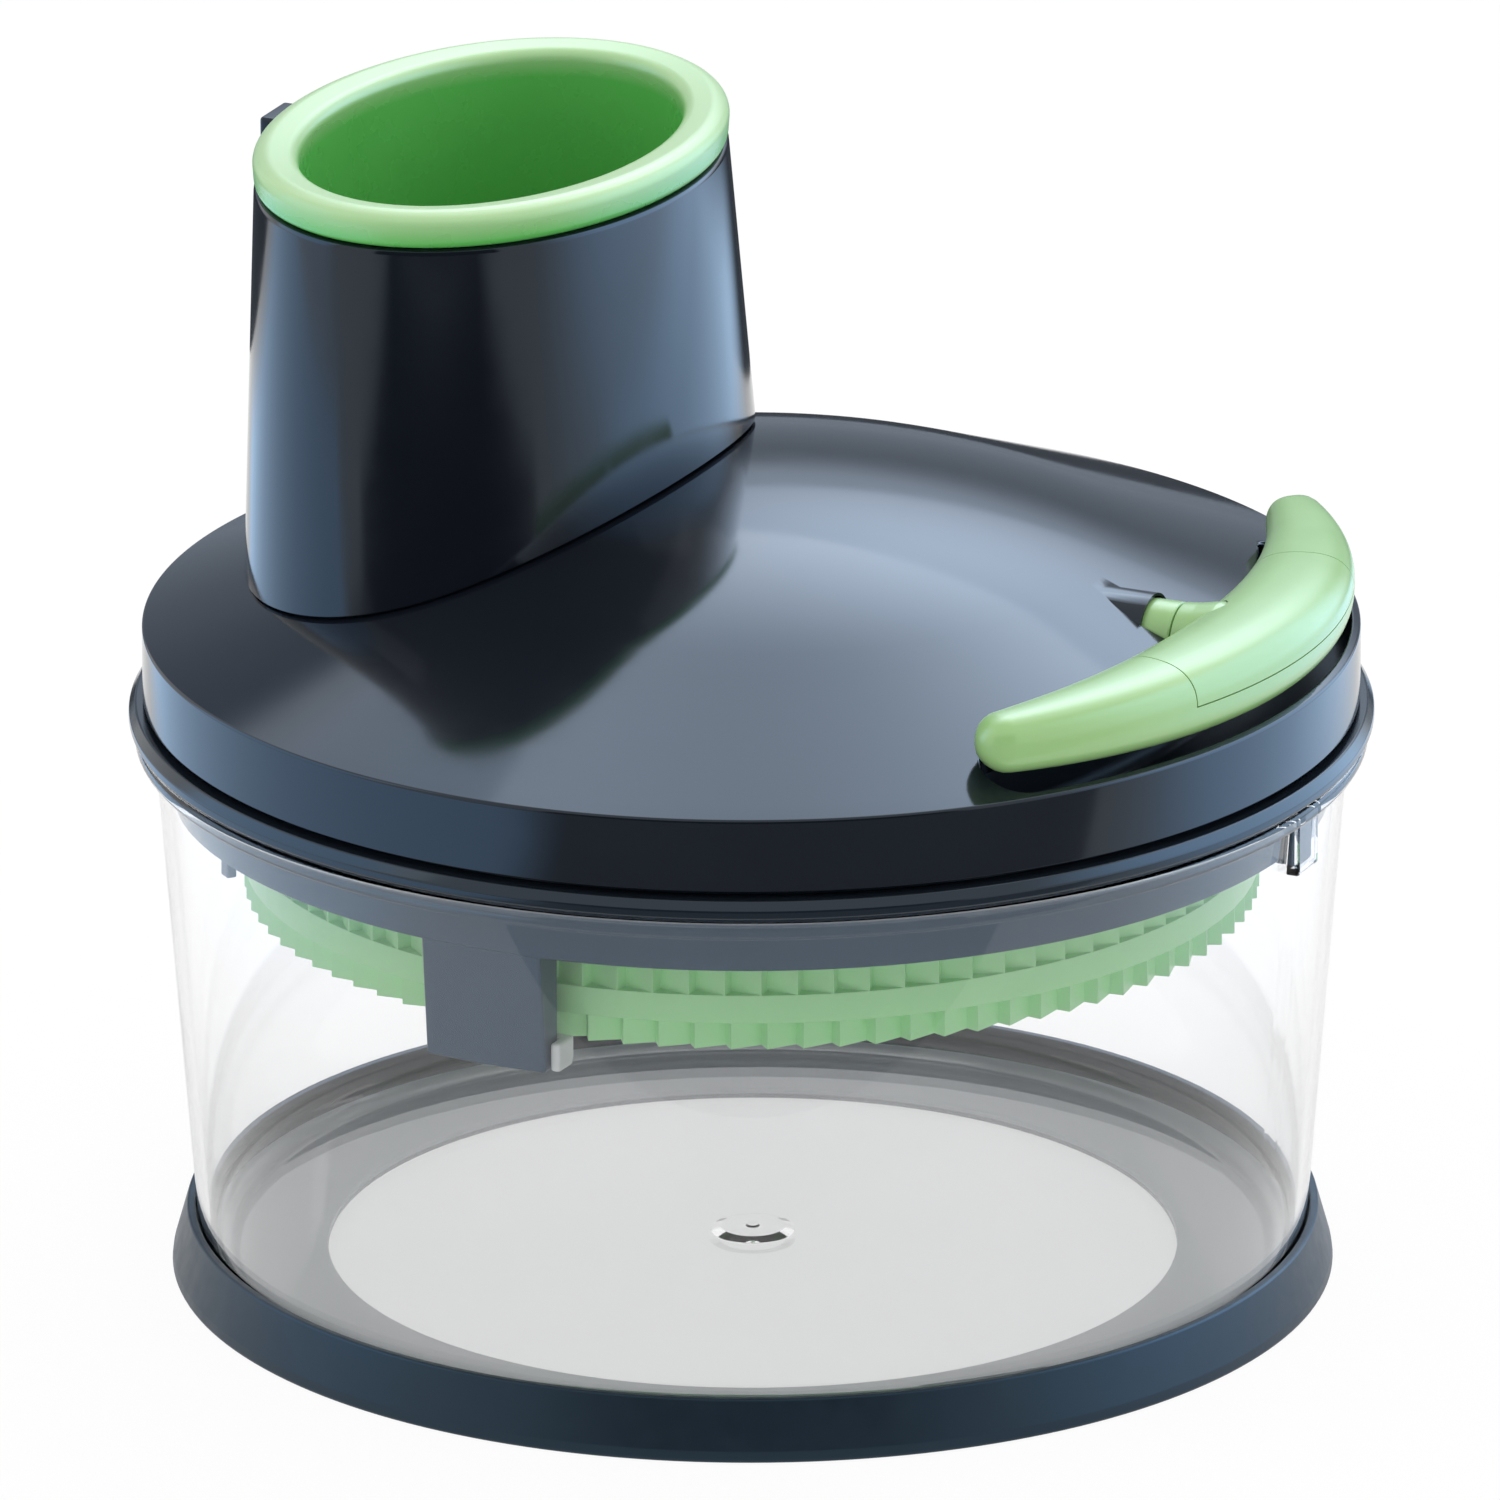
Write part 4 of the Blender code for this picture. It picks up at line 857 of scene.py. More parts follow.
@dataclass
class Dome:
    """The lid's dome: a round crown, then a straight slope to the edge."""

    edge_radius: float = 0.1075
    edge_z: float = 0.1200
    crown_radius: float = 0.0660
    crown_curve: float = 0.1840

    def height(self, radius: float) -> float:
        """Height of the dome's outer face.

        Args:
            radius: Distance from the bowl's axis.

        Returns:
            The height.
        """
        level = math.sqrt(self.crown_curve ** 2 - self.crown_radius ** 2)
        slope = self.crown_radius / level
        crown_z = self.edge_z + slope * (self.edge_radius - self.crown_radius)
        if radius > self.crown_radius:
            return crown_z - slope * (radius - self.crown_radius)
        return crown_z + math.sqrt(self.crown_curve ** 2 - radius ** 2) - level

    def radii(self, outer: float) -> list[float]:
        """Radii of the dome's outline from an outer radius in to the axis."""
        slope = [outer + (self.crown_radius - outer) * i / 6 for i in range(6)]
        return slope + [self.crown_radius * (1 - i / 14) for i in range(15)]


@dataclass
class BaseRing(SubAssembly):
    """Flared non-slip ring that the bowl's foot stands in."""

    radius: float = 0.1034
    top_radius: float = 0.1006
    height: float = 0.0110
    foot_draft: float = 0.0003
    foot_height: float = 0.0022
    sole: float = 0.0020
    sole_inner: float = 0.0756
    seat_radius: float = 0.0991
    seat_corner: float = 0.0063

    def build(self) -> None:
        """Turn the ring and dress it."""
        corners = [(self.sole_inner, 0.0, 0.0004), (self.radius, 0.0, 0.0007),
                   (self.radius - self.foot_draft, self.foot_height, 0.002), (self.top_radius, self.height, 0.0006),
                   (self.seat_radius, self.height, 0.0003), (self.seat_radius, self.sole, self.seat_corner),
                   (self.sole_inner, self.sole, 0.0004)]
        outline = rounded(corners, closed=True)
        ring = smooth(lathe("base_ring_skin", outline + outline[:1], 192))
        # The rubber's sole and seat wall carry painted light where they show through the bowl's floor.
        self.finishes.dress(ring, Look.RUBBER, Body.BOWL, "base_ring")


@dataclass
class Bowl(SubAssembly):
    """Clear drafted bowl with a rim bead, a gate dimple and a key pocket below the handle."""

    foot_radius: float = 0.0986
    mouth_radius: float = 0.1058
    bottom_z: float = 0.0023
    rim_z: float = 0.1016
    bead_radius: float = 0.1090
    bead_depth: float = 0.0032
    wall: float = 0.0020
    floor: float = 0.0030
    corner: float = 0.0060
    dimple_radius: float = 0.0076
    dimple_height: float = 0.0006
    nub_height: float = 0.0003
    nub_radius: float = 0.0013
    dimple_taper: float = 0.75
    nub_taper: float = 0.8
    key_width: float = 0.0064
    key_depth: float = 0.0120
    key_wall: float = 0.0012
    key_inset: float = 0.0019

    def outside(self, z: float) -> float:
        """Radius of the wall's outer face at a height."""
        low = self.bottom_z + self.corner
        return self.foot_radius + (self.mouth_radius - self.foot_radius) * (z - low) / (self.rim_z - low)

    def build(self) -> None:
        """Turn the bowl, add the key pocket and dress it."""
        inside_z = self.bottom_z + self.floor
        bead_z = self.rim_z - self.bead_depth
        nub_z = inside_z + self.dimple_height
        mouth = self.outside(self.rim_z) - self.wall
        foot = self.outside(inside_z) - self.wall
        corners = [(0.0, self.bottom_z, 0.0), (self.outside(self.bottom_z), self.bottom_z, self.corner),
                   (self.outside(bead_z), bead_z, 0.0006), (self.bead_radius, bead_z, 0.0012),
                   (self.bead_radius, self.rim_z, 0.0012), (mouth, self.rim_z, 0.0006),
                   (foot, inside_z, self.corner), (self.dimple_radius, inside_z, 0.0010),
                   (self.dimple_radius * self.dimple_taper, nub_z, 0.0010), (self.nub_radius, nub_z, 0.0001),
                   (self.nub_radius * self.nub_taper, nub_z + self.nub_height, 0.0001),
                   (0.0, nub_z + self.nub_height, 0.0)]
        bowl = lathe("bowl_wall", rounded(corners, steps=6), 200)
        low = self.rim_z - self.key_depth
        face = self.outside(low)
        side = self.key_width / 2 + self.key_wall
        outer = self.bead_radius - self.key_inset
        pocket = block("pocket", (face - self.wall / 2, -side, low - self.key_wall),
                       (outer, side, bead_z + self.bead_depth / 2), 0.0006)
        slot = block("slot", (face - 2 * self.wall, -self.key_width / 2, low),
                     (outer - self.key_wall, self.key_width / 2, self.rim_z + self.key_wall))
        combine(bowl, pocket, "UNION")
        combine(bowl, slot)
        self.finishes.dress(smooth(bowl, 30.0), Look.CLEAR, Body.BOWL, "bowl")


@dataclass
class LidBase(SubAssembly):
    """Lower half of the lid: ridge ring, skirt, deck, two legs, the key and the lugs."""

    radius: float = 0.1100
    ridge_z: float = 0.1019
    ridge_height: float = 0.0040
    ridge_inset: float = 0.0012
    ridge_steps: Flat = (0.0011, 0.0024)
    channel: float = 0.0020
    upstand: float = 0.1050
    upstand_height: float = 0.0033
    skirt_z: float = 0.0909
    skirt_top: float = 0.1030
    skirt_low: float = 0.10217
    skirt_wall: float = 0.0024
    deck_z: float = 0.0940
    deck_thickness: float = 0.0025
    bore: float = 0.0080
    leg_width: float = 0.0230
    leg_bottom: float = 0.0690
    leg_inner: float = 0.0945
    leg_outer: float = 0.1001
    leg_top: float = 0.1018
    lug_angles: Flat = (-129.0, 51.0)
    lug_size: float = 0.0026
    key_half: float = 0.0029
    key_z: float = 0.0899
    key_reach: float = 0.1056
    hole_z: Flat = (0.0900, 0.0990)

    def leg(self, angle: float) -> Piece:
        """One leg, flat inside and curved outside.

        Args:
            angle: Its place round the bowl, in degrees.

        Returns:
            The leg, in place.
        """
        half = self.leg_width / 2
        rings = []
        for outer, z in ((self.leg_outer, self.leg_bottom), (self.leg_top, self.skirt_z),
                         (self.leg_top, self.deck_z + 0.001)):
            corner = math.sqrt(outer ** 2 - half ** 2)
            middle = (corner + outer) / 2
            rings.append([(self.leg_inner, -half, z), (corner, -half, z), (middle, -half / 2, z), (outer, 0.0, z),
                          (middle, half / 2, z), (corner, half, z), (self.leg_inner, half, z)])
        leg = loft("leg", rings)
        leg.data.transform(turned(angle))
        apply_modifier(leg, "BEVEL", width=0.0005, segments=3, limit_method="ANGLE", angle_limit=math.radians(50))
        return leg

    def build(self) -> None:
        """Turn the ring, weld on the legs, key and lugs, cut the hole and dress it."""
        top = self.ridge_z + self.ridge_height
        inner = self.skirt_low - self.skirt_wall
        high = top + self.upstand_height
        deck_top = self.deck_z + self.deck_thickness
        edge = self.radius - self.ridge_inset
        channel_z = self.ridge_z + self.channel
        corners = [(self.bore, self.deck_z, 0.0), (inner, self.deck_z, 0.0005), (inner, self.skirt_z, 0.0004),
                   (self.skirt_low, self.skirt_z, 0.0005), (self.skirt_top, self.ridge_z, 0.0002),
                   (edge, self.ridge_z, 0.0006), (self.radius, self.ridge_z + self.ridge_steps[0], 0.0006),
                   (self.radius, self.ridge_z + self.ridge_steps[1], 0.0008), (edge, top, 0.0006),
                   (self.upstand, top, 0.0002), (self.upstand, high, 0.0003),
                   (self.upstand - self.skirt_wall, high, 0.0003),
                   (self.upstand - self.skirt_wall, channel_z, 0.0004),
                   (self.skirt_top - self.skirt_wall, self.ridge_z, 0.0004), (inner, deck_top, 0.0006),
                   (self.bore, deck_top, 0.0)]
        outline = rounded(corners, closed=True, steps=3)
        base = lathe("lid_base_skin", outline + outline[:1], 192)
        for angle in LEG_ANGLES:
            combine(base, self.leg(angle), "UNION")
        key = block("key", (inner + 0.0010, -self.key_half, self.key_z),
                    (self.key_reach, self.key_half, channel_z), 0.0004)
        combine(base, key, "UNION")
        half = self.lug_size / 2
        for angle in self.lug_angles:
            lug = block("lug", (inner + 0.0005, -half, self.skirt_z - self.lug_size),
                        (self.skirt_low - 0.0002, half, self.skirt_z + self.lug_size), 0.0003, angle)
            combine(base, lug, "UNION")
        combine(base, passage_hole("deck_hole", *self.hole_z))
        self.finishes.dress(smooth(base), Look.SLATE, Body.LID, "lid_base")


@dataclass
class LidCover(SubAssembly):
    """Domed upper half of the lid with the handle's recess and the stem's hood."""

    dome: Dome = field(default_factory=Dome)
    wall: float = 0.0022
    bottom_z: float = 0.1069
    recess_inner: float = 0.08445
    recess_outer: float = 0.1058
    recess_floor_z: float = 0.1115
    recess_half_angle: float = 37.8
    recess_end_inner: float = 0.0932
    floor_round: float = 0.0028
    lip_round: float = 0.0005
    lip_grow: float = 0.0012
    tray_wall: float = 0.0020
    overlap: float = 0.0010
    hood_radius: float = 0.0069
    hood_bore: float = 0.0064
    hood_start: float = 0.0600
    hood_mouth: float = 0.0774
    tray_x: Flat = (0.040, 0.120)
    tray_half: float = 0.085
    below_z: float = 0.100
    above_z: float = 0.150

    def inner_wall(self, turn: float) -> float:
        """Radius of the recess's inner wall at an angle, which follows the handle's inner edge."""
        return between(self.recess_end_inner, self.recess_inner, handle_bulk(math.degrees(turn) / HANDLE_HALF_ANGLE))

    def trough_ring(self, grow: float, height: Callable[[float], float], count: int = 40) -> Ring:
        """Ring round the recess, which is a slot bent about the bowl's axis with round ends.

        Args:
            grow: How far outside the recess's wall the ring lies.
            height: Height at a radius from the bowl's axis.
            count: Segments along each side.

        Returns:
            The ring's points.
        """
        def side(reach: Callable[[float], float], start: float) -> list[Flat]:
            """Points along one side, from an angle to its opposite."""
            turns = [start - 2 * start * i / count for i in range(count + 1)]
            return [(reach(turn) * math.cos(turn), reach(turn) * math.sin(turn)) for turn in turns]

        limit = math.radians(self.recess_half_angle)
        end_inner = self.inner_wall(limit)
        middle = (end_inner + self.recess_outer) / 2
        half = (self.recess_outer - end_inner) / 2 + grow
        flat = side(lambda turn: self.recess_outer + grow, -limit) + self.round_end(middle, half, limit, 0.0)
        flat += side(lambda turn: self.inner_wall(turn) - grow, limit) + self.round_end(middle, half, -limit, math.pi)
        return [(x, y, height(math.hypot(x, y))) for x, y in flat]

    @staticmethod
    def round_end(middle: float, half: float, turn: float, start: float, count: int = 20) -> list[Flat]:
        """Points of one round end of the recess.

        Args:
            middle: Radius of the recess's middle line.
            half: Half the recess's width.
            turn: Angle of the end's centre.
            start: Where the end starts: 0 to go from the outer wall to the inner, pi to come back.
            count: Segments in the end.

        Returns:
            The end's points, without its first and last.
        """
        x, y = middle * math.cos(turn), middle * math.sin(turn)
        angles = [turn + math.pi * i / count + start for i in range(1, count)]
        return [(x + half * math.cos(angle), y + half * math.sin(angle)) for angle in angles]

    def hollow(self) -> Piece:
        """Make the solid of the recess's air, with a rounded floor and a rounded upper edge that follows the dome.

        Returns:
            The solid.
        """
        rings = []
        for angle in (math.pi / 2 * step / 5 for step in range(6)):
            level = self.recess_floor_z + self.floor_round * (1 - math.cos(angle))
            rings.append(self.trough_ring(-self.floor_round * (1 - math.sin(angle)), lambda _r, z=level: z))
        for angle in (math.pi / 2 * step / 4 for step in range(5)):
            drop = self.lip_round * (1 - math.sin(angle))
            rings.append(self.trough_ring(self.lip_round * (1 - math.cos(angle)),
                                          lambda r, d=drop: self.dome.height(r) - d))
        rings.append(self.trough_ring(self.lip_grow, lambda r: self.dome.height(r) + 0.0001))
        rings.append(self.trough_ring(self.lip_grow, lambda _r: self.above_z))
        return loft("recess_hollow", rings)

    def build(self) -> None:
        """Turn the shell, form the recess and the hood, and dress it."""
        dome = self.dome
        inner = dome.edge_radius - self.wall
        edge = dome.edge_radius
        rim = [(inner, self.bottom_z, 0.0003), (edge, self.bottom_z, 0.0004), (edge, dome.edge_z, 0.0007),
               (edge - 0.0040, dome.height(edge - 0.0040), 0.0)]
        side = rounded([(inner, dome.height(inner) - self.wall, 0.0)] + rim, steps=5)
        over = [(r, dome.height(r)) for r in dome.radii(edge - 0.0080)]
        under = [(r, z - self.wall) for r, z in reversed(over)]
        cover = lathe("lid_cover_skin", under + side + over, 256)
        near, far = self.recess_inner - self.tray_wall, edge - self.overlap
        low = self.recess_floor_z - self.tray_wall
        tray = [(near, low), (far, low), (far, dome.height(edge) - self.overlap),
                (near, dome.height(self.recess_inner) - self.overlap)]
        shell = lathe("recess_shell", tray + tray[:1], 256)
        keep = block("keep", (self.tray_x[0], -self.tray_half, self.below_z),
                     (self.tray_x[1], self.tray_half, self.above_z))
        combine(shell, keep, "INTERSECT")
        combine(cover, shell, "UNION")
        hood = rod("hood", self.hood_radius, self.hood_start, self.hood_mouth + 0.0001, 64, STEM_Z)
        combine(cover, hood, "UNION")
        combine(cover, self.hollow())
        way = rod("stem_way", self.hood_bore, self.hood_start - 0.004, self.recess_inner + 0.002, 64, STEM_Z)
        half = self.hood_bore - 0.00015
        combine(way, block("stem_notch", (self.hood_mouth, -half, STEM_Z - 0.0012),
                           (self.recess_inner + 0.0012, half, self.above_z)), "UNION")
        combine(cover, way)
        combine(cover, passage_hole("chute_hole", self.below_z, self.above_z))
        # The navy finish paints the recess's floor and walls near black: painted shade.
        self.finishes.dress(smooth(cover, 30.0), Look.NAVY, Body.LID, "lid_cover")


@dataclass
class Chute(SubAssembly):
    """Oval feed tower: a flared shell that stands on the dome, the passage inside it and an ear behind."""

    dome: Dome = field(default_factory=Dome)
    foot_z: float = 0.1069
    top_z: float = 0.1984
    top_x: float = PASSAGE_X
    foot_x: float = -0.0472
    top_half: Flat = (0.0385, 0.0545)
    foot_half: Flat = (0.0434, 0.0620)
    seam: float = 0.0004
    foot_land: float = 0.0020
    edge_round: float = 0.0010
    edge_bevel: float = 0.0003
    shell_wall: float = 0.0024
    web_drop: float = 0.0060
    passage_half: Flat = (0.0335, 0.0495)
    passage_wall: float = 0.0025
    passage_end_z: float = 0.0920
    ear_half: float = 0.0050
    ear_top_z: float = 0.2020

    def ring(self, inset: float, level: Optional[float]) -> Ring:
        """Ring of the shell at a height, or where it meets the dome.

        Args:
            inset: How far inside the shell's face the ring lies.
            level: Its height, or None for the dome's line.

        Returns:
            The ring's points.
        """
        points = []
        for i in range(OVAL_STEPS):
            turn = 2 * math.pi * i / OVAL_STEPS
            z = self.top_z if level is None else level
            for _ in range(12 if level is None else 1):
                share = (z - self.foot_z) / (self.top_z - self.foot_z)
                across, along = (between(*ends, share) - inset for ends in zip(self.foot_half, self.top_half))
                x = between(self.foot_x, self.top_x, share) + across * math.cos(turn)
                y = along * math.sin(turn)
                if level is None:
                    z = self.dome.height(min(math.hypot(x, y), self.dome.edge_radius)) + self.seam
            points.append((x, y, z))
        return points

    def build(self) -> None:
        """Loft the shell and the passage, add the ear and dress them."""
        px, py = self.passage_half
        top = self.top_z
        rings = [self.ring(self.foot_land, None), self.ring(self.edge_bevel, None),
                 [(x, y, z + self.seam) for x, y, z in self.ring(0.0, None)], self.ring(0.0, top - self.edge_round),
                 self.ring(self.edge_bevel, top - self.edge_bevel), self.ring(self.edge_round, top)]
        outer = px + self.passage_wall
        for reach, z in ((px + 0.0008, top), (px, top - 0.0008), (px, self.passage_end_z),
                         (outer, self.passage_end_z), (outer, top - self.web_drop)):
            rings.append(oval(reach, reach - px + py, z, self.top_x, OVAL_STEPS))
        rings.append(self.ring(self.shell_wall, top - self.web_drop))
        shell = loft("chute_shell", rings, tube=True)
        face = self.top_x - self.top_half[0]
        half = self.ear_half
        ear = block("chute_ear", (face - 0.0045, -half, self.ear_top_z - 0.0100),
                    (face - 0.0003, half, self.ear_top_z), 0.0006)
        root = block("ear_root", (face - 0.0040, -half + 0.0003, self.ear_top_z - 0.0095),
                     (face + 0.0012, half - 0.0003, top - 0.0014), 0.0003)
        combine(shell, root, "UNION")
        combine(shell, ear, "UNION")
        self.finishes.dress(smooth(shell), Look.NAVY, Body.LID, "chute")


@dataclass
class Pusher(SubAssembly):
    """Hollow cup that fills the passage, with a rounded flange over the chute's top."""

    half: Flat = (0.0327, 0.0487)
    flange_half: Flat = (0.0388, 0.0548)
    flange_z: float = 0.1987
    flange_height: float = 0.0065
    flange_side: float = 0.0052
    flange_draft: float = 0.0004
    crown_inset: float = 0.0026
    crown_dip: float = 0.0008
    seat_gap: float = 0.0002
    wall: float = 0.0022
    draft: float = 0.0012
    bottom_z: float = 0.0915

    def build(self) -> None:
        """Loft the cup and dress it."""
        lean = self.flange_half[1] - self.flange_half[0]
        reach = self.flange_half[0]
        top = self.flange_z + self.flange_height
        mouth = self.half[0] - self.wall
        seat = self.flange_z - self.seat_gap
        corners = [(0.0, self.bottom_z, 0.0), (self.half[0] - self.draft, self.bottom_z, 0.0015),
                   (self.half[0], seat, 0.0004), (reach - self.flange_draft, seat, 0.0016),
                   (reach, self.flange_z + self.flange_side, 0.0028), (reach - self.crown_inset, top, 0.0030),
                   (mouth, top - self.crown_dip, 0.0024), (mouth - self.draft, self.bottom_z + self.wall, 0.0060),
                   (0.0, self.bottom_z + self.wall, 0.0)]
        outline = rounded(corners, steps=6)[1:-1]
        rings = [oval(r, r + lean, z, PASSAGE_X, OVAL_STEPS) for r, z in outline]
        cup = loft("pusher_cup", rings)
        # The cup takes the green with painted shade inside and a painted-light rim.
        self.finishes.dress(smooth(cup, 40.0), Look.CUP, Body.PUSHER, "pusher")


@dataclass
class Handle(SubAssembly):
    """Pull handle: a crescent grip with its stem, a cap let into its top, and the sleeve round the cord."""

    tip_radius: float = 0.1000
    middle_radius: float = 0.0962
    middle_size: Flat = (0.0215, 0.0150)
    tip_size: Flat = (0.0106, 0.0104)
    squareness: float = 0.80
    cap_half_angle: float = 19.0
    cap_split: float = 0.0004
    cap_room: float = 0.02
    seam: float = 0.00012
    stem_radius: float = 0.0060
    stem_flare: tuple[Triple, ...] = ((0.0003, 0.0030, 0.004), (0.0011, 0.0070, 0.002), (0.0006, 0.0090, 0.0))
    relief: float = 0.0002
    cord_bore: float = 0.0016
    seam_x: float = 0.0828
    sleeve_end_x: float = 0.0662

    def section(self, share: float, shrink: float, count: int = 48) -> Ring:
        """Ring of the crescent at a place along it.

        Args:
            share: Place along the crescent, from -1 at the front tip to 1 at the rear tip.
            shrink: Size of the ring as a share of the full section.
            count: Points in the ring.

        Returns:
            The ring's points.
        """
        bulk = handle_bulk(share)
        turn = math.radians(share * HANDLE_HALF_ANGLE)
        width, tall = (between(*ends, bulk) for ends in zip(self.tip_size, self.middle_size))
        radius = between(self.tip_radius, self.middle_radius, bulk)
        ring = []
        for i in range(count):
            angle = 2 * math.pi * i / count
            reach = [math.copysign(abs(v) ** self.squareness, v) for v in (math.cos(angle), math.sin(angle))]
            across = radius + width / 2 * shrink * reach[0]
            ring.append((across * math.cos(turn), across * math.sin(turn), STEM_Z + tall / 2 * shrink * reach[1]))
        return ring

    def crescent(self, name: str) -> Piece:
        """Make the whole crescent.

        Args:
            name: The piece's name.

        Returns:
            The crescent, as one solid.
        """
        tip = math.degrees(self.tip_size[0] / 2 / self.tip_radius) / HANDLE_HALF_ANGLE
        stations = [(i / 24, 1.0) for i in range(-24, 25)]
        for degrees in (15, 30, 45, 60, 72, 82, 88):
            turn = math.radians(degrees)
            stations.insert(0, (-1 - tip * math.sin(turn), math.cos(turn)))
            stations.append((1 + tip * math.sin(turn), math.cos(turn)))
        return loft(name, [self.section(share, shrink) for share, shrink in stations])

    def wedge(self, grow: float) -> Piece:
        """Sector that holds the cap.

        Args:
            grow: How far each face lies outside the seam's middle.

        Returns:
            The sector, as a solid.
        """
        inner = self.middle_radius - self.middle_size[0]
        outer = self.middle_radius + self.middle_size[0]
        low = STEM_Z + self.cap_split - grow
        limit = math.radians(self.cap_half_angle) + grow / self.middle_radius
        rings = []
        for i in range(25):
            turn = -limit + 2 * limit * i / 24
            corners = ((inner, low), (outer, low), (outer, low + self.cap_room), (inner, low + self.cap_room))
            rings.append([(r * math.cos(turn), r * math.sin(turn), z) for r, z in corners])
        return loft("cap_wedge", rings)

    def build(self) -> None:
        """Make the grip, the cap and the sleeve, and dress them."""
        grip = self.crescent("handle_grip_skin")
        cap = self.crescent("handle_cap_skin")
        radius, start = self.stem_radius, self.seam_x
        flare = [(radius + wider, start + along, corner) for wider, along, corner in self.stem_flare]
        root = flare[-1][1]
        stem = rounded([(0.0, start, 0.0), (radius, start, 0.0004), *flare, (0.0, root, 0.0)])
        combine(grip, self.wedge(self.seam))
        combine(grip, lathe("grip_stem", stem, 64, STEM_Z), "UNION")
        combine(cap, self.wedge(-self.seam), "INTERSECT")
        room = [(r + self.relief, x) for r, x in stem[1:-1]]
        relief = [(0.0, self.sleeve_end_x), *room, (0.0, root + self.relief)]
        combine(cap, lathe("stem_relief", relief, 64, STEM_Z))
        self.finishes.dress(smooth(grip, 40.0), Look.GREEN, Body.HANDLE, "handle_grip")
        self.finishes.dress(smooth(cap, 40.0), Look.GREEN, Body.HANDLE, "handle_cap")
        end = start - self.relief
        sleeve = rounded([(self.cord_bore, self.sleeve_end_x, 0.0), (radius - 0.0002, self.sleeve_end_x, 0.0008),
                          (radius, end - 0.0040, 0.01), (radius, end, 0.0004), (self.cord_bore, end, 0.0)],
                         closed=True)
        tube = lathe("stem_sleeve_skin", sleeve + sleeve[:1], 64, STEM_Z)
        self.finishes.dress(smooth(tube), Look.GREEN, Body.HANDLE, "stem_sleeve")


@dataclass
class RotorCarrier(SubAssembly):
    """Toothed carrier ring with spokes and a hub, which turns inside the bowl."""

    radius: float = 0.0900
    wall: float = 0.0043
    bottom_z: float = 0.0721
    lower_z: float = 0.0769
    upper_z: float = 0.0821
    band_z: float = 0.0880
    top_z: float = 0.0900
    teeth: int = 90
    depth: float = 0.0023
    shares: Flat = (0.04, 0.88)
    hub_radius: float = 0.0110
    hub_bottom_z: float = 0.0780
    disc_z: float = 0.0867
    bore_radius: float = 0.0043
    bore_z: Flat = (0.070, 0.095)
    spoke_half: float = 0.0040
    spoke_levels: Flat = (0.0060, 0.0003)

    def tooth_ring(self, radii: Flat, z: float) -> Ring:
        """Ring with one point at each side of every tooth.

        Args:
            radii: Radius at the tooth's two sides.
            z: Height.

        Returns:
            The ring's points.
        """
        ring = []
        for tooth in range(self.teeth):
            for reach, share in zip(radii, self.shares):
                turn = 2 * math.pi * (tooth + share) / self.teeth
                ring.append((reach * math.cos(turn), reach * math.sin(turn), z))
        return ring

    def build(self) -> None:
        """Loft the ring, weld on the spokes and hub, and dress it."""
        full = self.radius
        deep = full - self.depth
        inner = full - self.wall
        levels = (((full, deep), (self.bottom_z, self.lower_z)), ((full, full), (self.lower_z, self.upper_z)),
                  ((deep, full), (self.upper_z, self.band_z)), ((full, full), (self.band_z, self.top_z)),
                  ((inner, inner), (self.top_z, self.bottom_z)))
        ring = loft("rotor_ring", [self.tooth_ring(radii, z) for radii, heights in levels for z in heights], tube=True)
        apply_modifier(ring, "BEVEL", width=0.00018, segments=2, limit_method="ANGLE",
                       angle_limit=math.radians(35), use_clamp_overlap=True)
        low, high = (self.disc_z - drop for drop in self.spoke_levels)
        for i in range(3):
            spoke = block("spoke", (self.hub_radius * 0.6, -self.spoke_half, low),
                          (full - self.wall * 0.7, self.spoke_half, high), 0.0004, 90 + 120 * i)
            combine(ring, spoke, "UNION")
        hub = lathe("hub", rounded([(0.0, self.hub_bottom_z, 0.0), (self.hub_radius, self.hub_bottom_z, 0.0006),
                                    (self.hub_radius, self.top_z, 0.0006), (0.0, self.top_z, 0.0)]), 48)
        combine(ring, hub, "UNION")
        combine(ring, rod("hub_bore", self.bore_radius, *self.bore_z, 32))
        # The rotor takes the paler green, which is painted light.
        self.finishes.dress(smooth(ring, 30.0), Look.PALE, Body.ROTOR, "disc_carrier")


@dataclass
class GlidePads(SubAssembly):
    """White pads, one on each leg: a shelf under the rotor's rim and a tab beside the leg."""

    low: float = 0.0694
    thickness: float = 0.0024
    inner: float = 0.0854
    outer: float = 0.0942
    half: float = 0.0095
    tab_start: float = 0.0118
    tab_end: float = 0.0137
    tab_reach: float = 0.0981
    tab_height: float = 0.0052

    def build(self) -> None:
        """Make both pads and dress them."""
        inner, outer, half, low = self.inner, self.outer, self.half, self.low
        top = low + self.tab_height
        for angle, name in zip(LEG_ANGLES, ("glide_pad_front", "glide_pad_rear")):
            pad = block(name + "_skin", (inner, -half, low), (outer, half, low + self.thickness), 0.0003, angle)
            upright = block("upright", (outer - self.thickness, -half + 0.0003, low + 0.0003),
                            (outer - 0.0003, self.tab_end - 0.0006, top - 0.0007), 0.0002, angle)
            tab = block("tab", (outer - self.thickness / 2, self.tab_start, low - 0.0003),
                        (self.tab_reach, self.tab_end, top - 0.0003), 0.0006, angle)
            combine(pad, upright, "UNION")
            combine(pad, tab, "UNION")
            self.finishes.dress(smooth(pad), Look.NYLON, Body.LID, name)


